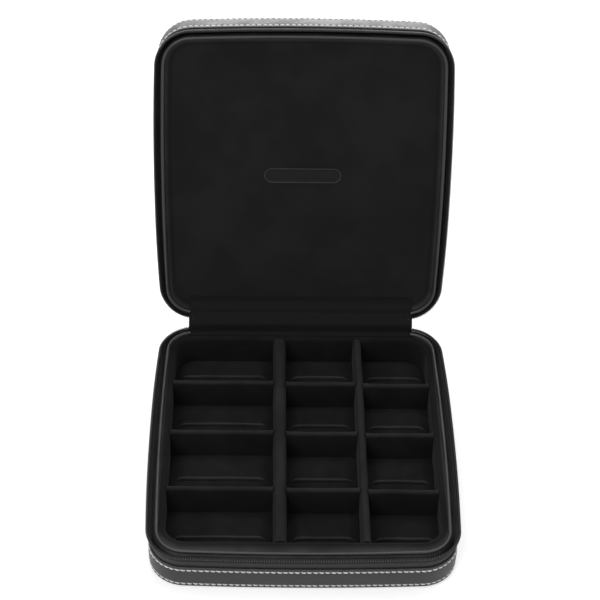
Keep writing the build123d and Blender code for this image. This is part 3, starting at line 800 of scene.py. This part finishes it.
def pocket_wall(name, seed):
    """A velour-wrapped divider in the place of its CAD solid: a bar whose sides lean in a little to
    a round top, rising slightly where it meets its neighbours at the ends. A painted highlight lightens the
    round top."""
    low, high = node_box(name)
    size, centre = high - low, (low + high) / 2
    long_x = size[0] > size[1]
    length, width = (size[0], size[1]) if long_x else (size[1], size[0])
    foot, top = low[2] + SEAT, high[2]
    ends = np.array([0, 0.4, 1.2, 2.4, 4.0])
    stop = np.concatenate([ends, np.linspace(7, length - 7, int(length / 3.5)), length - ends[::-1]])
    half = width / 2 - 0.04
    r = min(half, 2.9)
    a = np.linspace(0, np.pi, 11)
    flank, off_middle = half * np.array([1, 0.99, 0.97]), np.sign(np.cos(a)) * (np.abs(np.cos(a)) > 1e-9)
    across = np.concatenate([flank, 0.97 * ((half - r) * off_middle + r * np.cos(a)), -flank[::-1]])
    z = np.concatenate([[foot, 9.0, 15.0], top - r + r * np.sin(a), [15.0, 9.0, foot]])
    sway = 0.14 * wander(stop, 0 * stop, seed, 34.0)
    rise = 0.45 * np.exp(-np.minimum(stop, length - stop) / 1.3) - 0.1
    rise = rise + 0.08 * wander(stop, 0 * stop, seed + 50, 9.0)
    grid_z = z[None] + np.where(z[None] > 17, rise[:, None], 0.0)
    grid_a = across[None] + sway[:, None] * smooth_step(z, foot, top)[None]
    grid_l = np.broadcast_to(stop[:, None], grid_z.shape)
    flat = [low[0] + grid_l, centre[1] + grid_a] if long_x else [centre[0] + grid_a, low[1] + grid_l]
    # Painted highlight along the divider's round top.
    painted_top_highlight = 0.3 * smooth_step(grid_z, top - 1.5, top)
    bar = tube(np.stack([*flat, grid_z], axis=2), painted_top_highlight)
    piece(f"{name}_velour", [bar], VELOUR, "base", [name])


COLUMNS = ("left", "middle", "right")
walls = ["divider_left", "divider_right"]
walls += [f"cross_{column}_{row}" for column in COLUMNS for row in (1, 2, 3)]
for number, wall in enumerate(walls):
    pocket_wall(wall, 20 + number)

LIP_ZONE = 3.0
NEAR_SLIT = np.array([0.0, 0.07, 0.14, 0.22, 0.32, 0.45, 0.65, 0.9, 1.2, 1.6, 2.2, LIP_ZONE])
PAD_ENDS = np.array([0, 0.004, 0.012, 0.025, 0.045])


def corner_cut(x, low, high, column):
    """How far the field's rounded corner comes in from a pocket's straight edge, at each x."""
    r = FIELD_CORNER_R - 0.3
    near_low = np.clip(r - (x - low), 0, r) * (column == "left")
    near_high = np.clip(r - (high - x), 0, r) * (column == "right")
    return r - np.sqrt(r * r - np.maximum(near_low, near_high) ** 2)


def slit_cushion(column, row, seed):
    """A crowned velour pad with a slit across its middle. Its height is a crown that falls to the
    four edges, raised along the two lips and cut down in a narrow V between them. The slit fades
    out before the ends, and the rear lip stands a little over the front one. A painted highlight runs
    along the rear lip, with a faint random lift over the whole top."""
    name = f"cushion_{column}_{row}"
    low, high = node_box(name)
    width = high[0] - low[0]
    x = low[0] + width * np.concatenate([PAD_ENDS, np.linspace(0.07, 0.93, 40), 1 - PAD_ENDS[::-1]])
    cut = corner_cut(x, low[0], high[0], column)
    front, back = low[1] + cut * (row == 1), high[1] - cut * (row == 4)
    share_x = (x - low[0]) / width
    bow = (0.3 + 0.12 * wander(x, 0 * x, seed, 60.0)) * np.sin(np.pi * share_x)
    middle = (low[1] + high[1]) / 2 - SLIT_FORWARD[row - 1] + bow
    middle -= 0.8 * smooth_step(np.abs(share_x - 0.5), 0.38, 0.47)
    shares = 1 - (1 - np.linspace(0, 1, 16)[1:]) ** 1.35
    across = np.minimum(x - low[0], high[0] - x)
    window = smooth_step(across / width, 0.05, 0.12)[:, None]
    ends = (0.28 + 0.72 * smooth_step(across, -1.0, 7.0))[:, None]
    crown_top = high[2] - low[2] + 0.15

    def spread(near, reach):
        """Distances from the slit, close together beside it and then out to the pad's edge."""
        return np.concatenate([np.tile(near, (len(x), 1)), LIP_ZONE + (reach - LIP_ZONE)[:, None] * shares],
                              axis=1)

    def height(d, reach, lip):
        edge = np.clip((reach[:, None] - d) / 10.5, 0, 1)
        fall = (0.1 + 0.9 * np.sin(edge * np.pi / 2)) * (1 - 0.14 * np.clip(d / reach[:, None], 0, 1))
        slit = lip * hump(d, 1.1, 0.75) - 2.5 * hump(d, 0, 0.48)
        return ((crown_top - 0.45) * fall + slit * window) * ends

    d_back, d_front = spread(NEAR_SLIT, back - middle), spread(NEAR_SLIT[1:], middle - front)
    y = np.concatenate([middle[:, None] - d_front[:, ::-1], middle[:, None] + d_back], axis=1)
    z = np.concatenate([height(d_front, middle - front, -0.1)[:, ::-1],
                        height(d_back, back - middle, 0.8)], axis=1)
    z += 0.14 * wander(x[:, None] + 0 * y, y, seed + 7, 15.0) * smooth_step(z, 0.8, 2.2)
    # Painted highlight along the rear lip, plus a faint random lift everywhere.
    lip_highlight_and_mottle = np.concatenate([0 * d_front, hump(d_back, 1.0, 0.5) * window], axis=1)
    lip_highlight_and_mottle += 0.06 * (0.5 + 0.5 * wander(x[:, None] + 0 * y, y, seed + 90, 12.0))
    under = np.stack([back, (back + front) / 2, front], axis=1)
    y = np.concatenate([y, under], axis=1)
    z = np.concatenate([low[2] + 0.06 + np.maximum(z, 0.35), np.full_like(under, low[2] + 0.04)], axis=1)
    grid = np.stack([np.broadcast_to(x[:, None], y.shape), y, z], axis=2)
    made = piece(f"{name}_pad", [tube(grid, np.concatenate([lip_highlight_and_mottle, 0 * under], axis=1))], VELOUR, "base",
                 [name], sharp=75)


for c, column in enumerate(COLUMNS):
    for row in (1, 2, 3, 4):
        slit_cushion(column, row, 40 + 4 * c + row)


# ------------------------------------------------ lining of the lid
def lid_lining():
    """Velour over the lid's padding as one closed skin: a rim under the piping, a bevel down to the
    panel, and the panel itself, slightly domed towards its middle. A painted highlight runs along the
    top of the bevel, a weaker lighter band lies at its foot, and a faint even lift covers the panel."""
    t = stations(3.0, 1.4)
    face, foot, level = TRAY_INSET + SKIN_GAP, PADDING_TOP + SEAT, PANEL_Z + 0.02
    rows = ringed(CASE, t, [(face, foot), (face, 20.6), (TRAY_INSET + 0.3, 21.5), (4.1, 21.85),
                            (4.8, 21.75), (5.4, 21.3), (6.1, 20.6), (6.8, 19.95), (7.4, 19.5),
                            (8.1, 19.22), (9.2, PANEL_Z + 0.06), (11.5, level)])
    for k in (0.97, 0.93, 0.88, 0.8, 0.7, 0.6, 0.5, 0.4, 0.3, 0.2, 0.1, 0.04):
        flat = ring(CASE, t, 11.5)[0] * k
        dome = 0.12 * (1 - k * k) + 0.1 * wander(flat[:, 0], flat[:, 1], 70, 60.0) * (1 - k)
        rows.append(lift(flat, level + np.minimum(dome, 0.1)))
    under = [lift(ring(CASE, t, face)[0] * k, foot) for k in (0.1, 0.5, 0.9)]
    # Painted highlight along the top of the bevel, weaker at its foot, and a faint even lift over the panel.
    painted_light_marks = [0.0] * len(under) + [0, 0, 0.1, 0.3, 0.8, 1.0, 0.5, 0.1, 0, 0, 0.15, 0.1] + [0.08] * 12
    return skin(np.stack(under + rows, axis=1), wrap_u=True, poles=True, wear_and_highlight=np.array(painted_light_marks)[None])


panel = piece("lid_lining_velour", [lid_lining()], LID_VELOUR, "lid", ["lid_panel", "lid_rim"],
              lid=True)


def pill_ring(half_length, half_width):
    """A pill's edge: two half circles joined by straight runs."""
    a = around(96)
    flat = half_width * np.stack([np.cos(a), np.sin(a)], axis=1)
    flat[:, 0] += np.sign(np.cos(a)) * (half_length - half_width) * np.minimum(1, np.abs(np.cos(a)) * 30)
    return flat


def blank_plaque():
    """A pill-shaped pressed badge with nothing on it: a rounded rib round its edge and a slightly
    domed field inside. The rib's top carries a painted highlight."""
    low, high = node_box("lid_plaque")
    _, centre_y, centre_z = (low + high) / 2
    half_l, half_w = (high[0] - low[0]) / 2, 4.7
    along = math.hypot(centre_y - HINGE_Y, centre_z - HINGE_Z)
    rise = SHUT_HEIGHT - HINGE_Z - PANEL_Z - 0.3
    y, level = HINGE_Y - math.sqrt(along * along - rise * rise), PANEL_Z + 0.06
    profile = [(0.0, 0.02), (0.02, 0.32), (0.14, 0.52), (0.38, 0.62), (0.62, 0.56), (0.82, 0.4),
               (1.05, 0.3), (1.4, 0.27), (2.4, 0.29), (3.6, 0.31), (4.3, 0.32)]
    rows = [lift(pill_ring(half_l - 4.2, 0.5) + [0, y], level)]
    rows += [lift(pill_ring(half_l - i, half_w - i) + [0, y], level + z) for i, z in profile]
    grid = np.stack(rows, axis=1)
    # Painted highlight on the top of the raised rib.
    return skin(grid, wrap_u=True, poles=True, wear_and_highlight=smooth_step(grid[..., 2], PANEL_Z + 0.5, PANEL_Z + 0.7))


piece("lid_plaque_blank", [blank_plaque()], PRESSED, "lid", ["lid_plaque"], lid=True)

# ------------------------------------------------ soft hinge
PATH_STEP = 0.35


def eased_path(points, ease, step=PATH_STEP):
    """A line through a few points with each corner eased: a quadratic curve from a little before it
    to a little after it. Returned evenly spaced, with its normals and its length."""
    points = [np.array(p, float) for p in points]
    line = [points[0]]
    for before, corner, after in zip(points, points[1:], points[2:]):
        r = min(ease, 0.49 * np.hypot(*(corner - before)), 0.49 * np.hypot(*(after - corner)))
        a, b = (corner + (end - corner) / np.hypot(*(end - corner)) * r for end in (before, after))
        line += [a * (1 - k) ** 2 + 2 * corner * k * (1 - k) + b * k * k for k in np.linspace(0, 1, 9)]
    line = np.array(line + [points[-1]])
    reach = np.concatenate([[0], np.cumsum(np.hypot(*np.diff(line, axis=0).T))])
    even = np.linspace(0, reach[-1], int(reach[-1] / step))
    line = np.stack([np.interp(even, reach, line[:, k]) for k in (0, 1)], axis=1)
    ahead = unit(np.gradient(line, axis=0))
    return line, np.stack([-ahead[:, 1], ahead[:, 0]], axis=1), reach[-1]


def soft_sheet(path, normals, half, close, count, thick, ripple):
    """A sheet of some thickness carried across x, from -half to half: its middle follows the path,
    ripples a little off it, and it is doubled at its two hems and rounded off at their edges. Its
    stations are count even ones and, at each end, those at the distances in close."""
    ends = half - np.array(close)
    x = np.concatenate([-ends[:-1], np.linspace(-ends[-1], ends[-1], count), ends[:-1][::-1]])[:, None]
    reach = np.arange(len(path)) * PATH_STEP
    free = np.sin(np.pi * np.arange(len(path)) / (len(path) - 1)) ** 1.5
    off = ripple * wander(x + 0 * reach, reach + 0 * x, 80, 26.0) * free
    near = half - np.abs(x)
    swell = thick / 2 * (1 + 0.15 * smooth_step(-near, -3.2, -2.7))
    swell = swell * (0.35 + 0.65 * smooth_step(near, -0.25, 0.35))
    sides = []
    for sign in (1, -1):
        flat = path[None] + normals[None] * (off + sign * swell)[..., None]
        sides.append(np.concatenate([np.broadcast_to(x[..., None], (*off.shape, 1)), flat], axis=2))
    return tube(np.concatenate([sides[0], sides[1][:, ::-1]], axis=1))


LINING_OFF = 0.7
riser_y = SLIDER_LOW[1] - LINING_OFF
over_rim, over_panel = SHUT_HEIGHT - RIM_TOP - 0.32, SHUT_HEIGHT - PANEL_Z - 0.35
path, normals, lining_length = eased_path([
    (FIELD_BACK + 2.0, RIM_TOP + 0.3),
    (riser_y, RIM_TOP + 0.35),
    (riser_y, SLIDER_HIGH[2] + LINING_OFF),
    swung(HALF_L - TRAY_INSET, over_rim),
    swung(HALF_L - 5.2, over_rim),
    swung(HALF_L - 9.0, over_panel),
    swung(HINGE_Y - 15.0, over_panel),
], 2.0)
lining = piece("hinge_lining_sheet",
               [soft_sheet(path, normals, LINING_HALF, (0, 0.15, 0.5, 1.2), 90, 0.45, 0.26)], LINING,
               ("base", "lid", (0, 0.0872, 0.0240), (0, 0.0955, 0.0330)), ["hinge_lining"])

spine_y = HALF_L + 0.45
lid_edge, lid_end = (swung(spine_y, SHUT_HEIGHT - WALL_TOP + up) for up in (0.0, 3.0))
slope = (lid_end[1] - lid_edge[1]) / (lid_end[0] - lid_edge[0])
bend = (spine_y, lid_edge[1] + (spine_y - lid_edge[0]) * slope)
path, normals, spine_length = eased_path([(spine_y, WALL_TOP - 3.0), bend, lid_end], 7.6)
spine = piece("hinge_spine_leather",
              [soft_sheet(path, normals, SPINE_HALF, (0, 0.2, 0.7), 60, 0.8, 0.1)], LEATHER,
              ("base", "lid", (0, 0.0906, 0.0160), (0, 0.1000, 0.0268)), ["hinge_spine"])

# ------------------------------------------------ zip ends beside the spine
BEND = ("base", "lid")
SIDES = (("left", -1), ("right", 1))
COIL_START = SPINE_HALF + 2.0
STRAIGHT_END = 62.6
LOWER_TOP = SEAM_Z - 0.4
LOWER_Z = (END_COIL_FOOT + LOWER_TOP) / 2
UPPER_Z = 2 * SEAM_Z - LOWER_Z
LID_COIL_END = np.array(swung(COIL_Y, SHUT_HEIGHT - COIL_MIDDLE))
INSIDE_WALL = HALF_L - SHELL_THICK - 0.35
BEND_Z = 0.0272


def climb(x):
    """Share of the upper coil's climb at x: 0 as far as the slider goes, 1 at the lining's edge."""
    return smooth_step(x, STRAIGHT_END, LINING_HALF)


def climb_point(k):
    """Where the upper coil's middle is as it climbs from the seam, k = 0, to the coil on the open
    lid, k = 1: a quadratic curve that bows upwards, so that it comes out straight on the shut lid."""
    start, bow = np.array([COIL_Y, UPPER_Z]), np.array([COIL_Y - 0.4, LID_COIL_END[1] + 2.4])
    k = np.asarray(k)[..., None]
    return start * (1 - k) ** 2 + 2 * bow * k * (1 - k) + LID_COIL_END * k ** 2


def end_coil(sign, upper):
    """The coil from its stop out to the hinge lining's edge. The upper one is straight as far as the
    slider goes, then climbs to meet the coil on the lid."""
    def middle(f):
        x = COIL_START + (LINING_HALF - COIL_START) * f
        return np.column_stack([sign * x, climb_point(climb(x)) if upper else
                                np.broadcast_to([COIL_Y, LOWER_Z], (len(x), 2))])

    return coil_run(middle, lambda f: np.broadcast_to([0, 1.0, 0], (len(f), 3)), 0.46,
                    (LOWER_TOP - END_COIL_FOOT) / 2 - COIL_WIRE_R,
                    round((LINING_HALF - COIL_START) / COIL_PITCH))


piece("zip_end_coil_lower", [end_coil(-1, False), end_coil(1, False)], COIL, "base",
      ["zip_end_coils"])
for label, sign in SIDES:
    ends = (sign * STRAIGHT_END / 1000, 0, 0), (sign * LINING_HALF / 1000, 0, 0)
    piece(f"zip_end_coil_upper_{label}", [end_coil(sign, True)], COIL, (*BEND, *ends))

END_TAPE_Z = np.array([11.5, 15.0, 18.0, 21.5])
END_TAPE_Y = INSIDE_WALL + (COIL_Y - INSIDE_WALL) * smooth_step(END_TAPE_Z, 14.5, 19.0)


def lower_end_tape(sign):
    """Tape from inside the base's wall up to the lower coil."""
    y = np.concatenate([END_TAPE_Y + 0.28, END_TAPE_Y[::-1] - 0.28])
    loop = np.column_stack([y, np.concatenate([END_TAPE_Z, END_TAPE_Z[::-1]])])
    return tube(np.stack([np.column_stack([np.full(len(loop), x), loop])
                          for x in sign * np.linspace(SPINE_HALF, LINING_HALF, 14)]))


def over_line(x):
    """The upper end tape's line at x, as eased_path gives it: from the coil, over the slider's path,
    and down inside the lid's wall. It turns with the coil as that climbs onto the lid."""
    into, edge = (swung(INSIDE_WALL, SHUT_HEIGHT - WALL_TOP + up) for up in (3.0, -0.4))
    ridge, k = SLIDER_HIGH[2] + 0.75, float(climb(x))
    on_base, on_open_lid = np.array([COIL_Y + 2.6, ridge]), LID_COIL_END + [3.8, -0.95]
    coil, lean = climb_point(k), QUARTER - OPEN_ANGLE * k
    away = np.array([math.cos(lean), math.sin(lean)])
    over = on_base + (on_open_lid - on_base) * k + [0, 0.8 * math.sin(math.pi * k)]
    return eased_path([coil + away * 1.2, coil + away * (ridge - UPPER_Z), over, edge, into], 1.2, 0.2)


def upper_end_tape(sign, low, high, count):
    """Tape between the upper coil and the lid's wall: a thin band about over_line at each x."""
    rows = []
    for x in np.linspace(low, high, count):
        line, normal, _ = over_line(x)
        pick = np.linspace(0, len(line) - 1, 24).astype(int)
        line, normal = line[pick], normal[pick]
        loop = np.concatenate([line + normal * 0.26, (line - normal * 0.26)[::-1]])
        rows.append(np.column_stack([np.full(len(loop), sign * x), loop]))
    return tube(np.stack(rows))


# The straight tape bends over from coil to lid. The corner patch bends over as well,
# so that its coil edge has gone over to the lid by its outer end.
made = piece("zip_end_tape_lower", [lower_end_tape(-1), lower_end_tape(1)], TAPE, "base",
             ["zip_end_tapes"])
for label, sign in SIDES:
    ends = (0, COIL_Y / 1000, BEND_Z), (0, (COIL_Y + 10.3) / 1000, BEND_Z)
    made = piece(f"zip_end_tape_upper_{label}", [upper_end_tape(sign, SPINE_HALF, STRAIGHT_END, 12)], TAPE,
                 (*BEND, *ends))
    ends = (sign * STRAIGHT_END / 1000, COIL_Y / 1000, 0), (sign * 0.0671, (COIL_Y + 2.65) / 1000, 0)
    corner = piece(f"zip_end_tape_corner_{label}", [upper_end_tape(sign, STRAIGHT_END, LINING_HALF, 10)],
                   TAPE, (*BEND, *ends))
    over_line(SPINE_HALF)[2] / 1000


def rounded_block(centre, half, power=5.0):
    """A block with soft edges: each point's signed powers of sine and cosine, scaled to its half
    sizes (a superellipsoid)."""
    a = np.linspace(-np.pi, np.pi, 28, endpoint=False)[:, None]
    b = np.linspace(-QUARTER, QUARTER, 16)[None, 1:-1]
    k = 2 / power
    grid = np.stack([squared(np.cos(b), k) * squared(np.cos(a), k), squared(np.cos(b), k)
                     * squared(np.sin(a), k), squared(np.sin(b), k) + 0 * a], axis=2)
    return skin(grid * np.array(half) + np.array(centre), wrap_u=True, poles=True, wear_and_highlight=0.5)


stop_x = SPINE_HALF + 1.0
stops = [rounded_block((s * stop_x, COIL_Y, z), (0.95, 1.05, 1.6))
         for s in (1, -1) for z in (SEAM_Z - 1.8, SEAM_Z + 1.8)]
stops += [rounded_block((s * stop_x, COIL_Y, SEAM_Z), (0.8, 0.85, 1.2)) for s in (1, -1)]
piece("zip_stop_crimps", stops, METAL, "base", ["zip_stops"])

# ------------------------------------------------ slider and pull
SLIDER_X = (SLIDER_LOW[0] + SLIDER_HIGH[0]) / 2
PLATE_OUT = COIL_Y - SLIDER_LOW[1]
PLATE_THICK = 0.8


def slider_plate(side):
    """One face of the slider: a shield with a blunt nose, domed outside, with turned-in flanges
    along its two long edges. Rings of its edge shrink towards the middle."""
    a = around(72)
    u = 5.0 * squared(np.cos(a), 0.62)
    w = (3.8 - 0.55 * smooth_step(u, 0.5, 5.0)) * squared(np.sin(a), 0.5)
    rows = []
    for k, out in ((0.1, 0.02), (0.6, 0.02), (0.93, 0.02), (0.985, 0.1), (1.0, 0.3), (1.0, 0.5),
                   (0.97, 0.68), (0.9, 0.79), (0.75, 0.82), (0.5, 0.84), (0.2, 0.85)):
        y = COIL_Y + side * (PLATE_OUT - PLATE_THICK + min(out, PLATE_THICK))
        rows.append(np.stack([SLIDER_X + u * k, np.full_like(u, y), SEAM_Z + w * k], axis=1))
    wear_and_highlight = np.array([0, 0, 0, 0.2, 0.8, 0.9, 0.9, 0.6, 0.2, 0.1, 0.1])[None]
    return skin(np.stack(rows, axis=1), wrap_u=True, poles=True, wear_and_highlight=wear_and_highlight)


def strap(line, half_wide, half_thick, axis):
    """A rounded strap carried along a line: an oval section, wide along one axis."""
    line = np.array(line, float)
    reach = np.concatenate([[0], np.cumsum(np.linalg.norm(np.diff(line, axis=0), axis=1))])
    even = np.linspace(0, reach[-1], 40)
    line = np.stack([np.interp(even, reach, line[:, k]) for k in range(3)], axis=1)
    for _ in range(3):
        line[1:-1] = (line[:-2] + 2 * line[1:-1] + line[2:]) / 4
    wide = np.array(axis, float)
    thin = np.cross(unit(np.gradient(line, axis=0)), wide)
    a = around(12)
    grid = (line[:, None] + wide * (half_wide * squared(np.cos(a), 0.7))[None, :, None]
            + thin[:, None] * (half_thick * squared(np.sin(a), 0.7))[None, :, None])
    return tube(grid, 0.35)


bridge_top, plate_face = SLIDER_HIGH[1] - 0.4, COIL_Y + PLATE_OUT - 0.3
bridge = strap([(SLIDER_X + x, y, SEAM_Z) for x, y in (
    (-2.6, plate_face), (-2.6, bridge_top - 0.7), (-2.1, bridge_top), (2.1, bridge_top),
    (2.6, bridge_top - 0.7), (2.6, plate_face))], 0.95, 0.38, UP)
post = rounded_block((SLIDER_X - 3.5, COIL_Y, SEAM_Z), (1.45, 1.35, 0.19), 4.0)
piece("zip_slider_body", [slider_plate(1), slider_plate(-1), bridge, post], METAL, "slider",
      ["zip_slider"])


def pull_eye():
    """The pull's ring round the bridge: a tube bent into a circle about the pull's axis, widened
    along x."""
    a, b = around(40)[:, None], around(14)[None]
    r = 1.825 + 0.36 * squared(np.cos(b), 0.6)
    grid = np.stack([SLIDER_X + 1.75 * squared(np.sin(b), 0.6) + 0 * a, PULL_Y + r * np.cos(a),
                     SEAM_Z + r * np.sin(a)], axis=2)
    return skin(grid, wrap_u=True, wrap_v=True, wear_and_highlight=0.3)


def pull_tab():
    """The pull's tab: a long tapered plate with a raised rim and a slot low down. Rings go from the
    back face round the outside to the front, and through the slot."""
    a = around(96)
    ca, sa = np.cos(a), np.sin(a)
    top, low = SEAM_Z - 1.9, node_box("zip_pull")[0][2]
    mid, half = (top + low) / 2, (top - low) / 2
    z = mid + half * squared(sa, 0.75)
    width = 1.75 + 1.2 * smooth_step(top - z, 1.0, 7.0)
    outer = np.stack([width * squared(ca, 0.45), z - mid], axis=1)
    slot = np.stack([1.25 * squared(ca, 0.7), -3.4 + 3.6 * squared(sa, 0.8)], axis=1)
    rows = []
    for k, depth in ((0.0, 0.30), (0.0, -0.30), (0.04, -0.40), (0.5, -0.34), (0.86, -0.36), (0.92, -0.48),
                     (0.975, -0.46), (1.0, -0.25), (1.0, 0.25), (0.975, 0.46), (0.92, 0.48),
                     (0.86, 0.36), (0.5, 0.34), (0.04, 0.40)):
        flat = slot + (outer - slot) * k
        rows.append(np.stack([SLIDER_X + flat[:, 0], np.full(len(a), PULL_Y + depth), mid + flat[:, 1]],
                             axis=1))
    wear_and_highlight = np.array([0.2, 0.2, 0.3, 0, 0, 0.6, 1, 1, 1, 1, 0.6, 0, 0, 0.3])[None]
    return skin(np.stack(rows, axis=1), wrap_u=True, wrap_v=True, wear_and_highlight=wear_and_highlight)


piece("zip_pull_tab", [pull_eye(), pull_tab()], METAL, "pull", ["zip_pull"])

# ------------------------------------------------ pieces kept from the frame
for name, material in {"base_board": BOARD, "lid_board": BOARD, "base_frame": FIBRE, "lid_frame": FIBRE,
                       "tray_floor": VELOUR, "lid_padding": FOAM}.items():
    materials = frame["nodes"][name].data.materials
    materials.clear()
    materials.append(material)


# ------------------------------------------------ floor, light and camera
def white_seen(tree):
    """1 for rays from the camera, off gloss and through glass, and 0 for the light itself."""
    ray = node(tree, "LightPath").outputs
    seen = maths(tree, "MAXIMUM", ray["Is Camera Ray"], ray["Is Glossy Ray"])
    return maths(tree, "MAXIMUM", seen, ray["Is Transmission Ray"])


def studio_floor():
    """A pale floor: plain matt white, with a little glow of its own so that it reads white while
    the shadow stays. From below it isn't there."""
    size, drop = 4.0, -0.0002
    mesh = bpy.data.meshes.new("studio_floor")
    mesh.from_pydata([(x * size, y * size, drop) for x, y in ((-1, -1), (1, -1), (1, 1), (-1, 1))], [],
                     [(0, 1, 2, 3)])
    material = bpy.data.materials.new("studio_floor")
    material.use_nodes = True
    tree = material.node_tree
    tree.nodes.clear()
    matt = node(tree, "BsdfDiffuse", {"Color": (0.82, 0.82, 0.82, 1)})
    glow = node(tree, "Emission", {"Strength": maths(tree, "MULTIPLY", white_seen(tree), 0.42)})
    both = node(tree, "AddShader", {0: matt.outputs[0], 1: glow.outputs[0]})
    behind = node(tree, "NewGeometry").outputs["Backfacing"]
    seen = node(tree, "MixShader", {0: behind, 1: both.outputs[0],
                                    2: node(tree, "BsdfTransparent").outputs[0]})
    node(tree, "OutputMaterial", {"Surface": seen.outputs[0]})
    mesh.materials.append(material)
    placed("studio_floor", mesh)


def studio_world():
    """White as seen, and half as bright for the light it gives."""
    world = bpy.data.worlds.new("studio")
    bpy.context.scene.world = world
    world.use_nodes = True
    tree = world.node_tree
    background = tree.nodes["Background"]
    background.inputs["Color"].default_value = (1, 1, 1, 1)
    strength = maths(tree, "ADD", maths(tree, "MULTIPLY", white_seen(tree), 0.5), 0.5)
    tree.links.new(strength, background.inputs["Strength"])


def soft_lamp(name, place, aim, size, power):
    lamp = bpy.data.lights.new(name, "AREA")
    lamp.shape, lamp.size, lamp.energy = "DISK", size, power
    place = np.array(place, float)
    back = unit(place - np.array(aim, float))
    right = unit(np.cross((0, 1, 0.001), back))
    placed(name, lamp, [right, np.cross(back, right), back, place])


def still_camera(yaw, pitch, roll, place):
    """A camera that looks along +Y, turned right by yaw, down by pitch and then about its own axis by
    roll, in degrees."""
    yaw, pitch, roll = math.radians(yaw), math.radians(pitch), math.radians(roll)
    ahead = np.array([math.sin(yaw) * math.cos(pitch), math.cos(yaw) * math.cos(pitch), -math.sin(pitch)])
    level = np.array([math.cos(yaw), -math.sin(yaw), 0])
    upright = np.cross(level, ahead)
    right, up = (math.cos(roll) * level + math.sin(roll) * upright,
                 -math.sin(roll) * level + math.cos(roll) * upright)
    camera = bpy.data.cameras.new("camera")
    camera.lens, camera.sensor_width = 104.0, 36.0
    camera.clip_start, camera.clip_end = 0.05, 20
    bpy.context.scene.camera = placed("camera", camera, [right, up, -ahead, place])


studio_floor()
studio_world()
soft_lamp("key_lamp", (-0.7, -0.9, 1.5), (0, 0, 0.05), 1.2, 12.0)
soft_lamp("top_lamp", (0.3, 0.5, 1.7), (0, 0.05, 0.1), 1.4, 9.0)
soft_lamp("back_lamp", (0.0, 1.9, 0.7), (0, 0.1, 0.15), 1.7, 26.0)
still_camera(1.53, 41.73, 1.42, (-0.0212, -0.6790, 0.7320))
bpy.context.scene.view_settings.view_transform = "Standard"
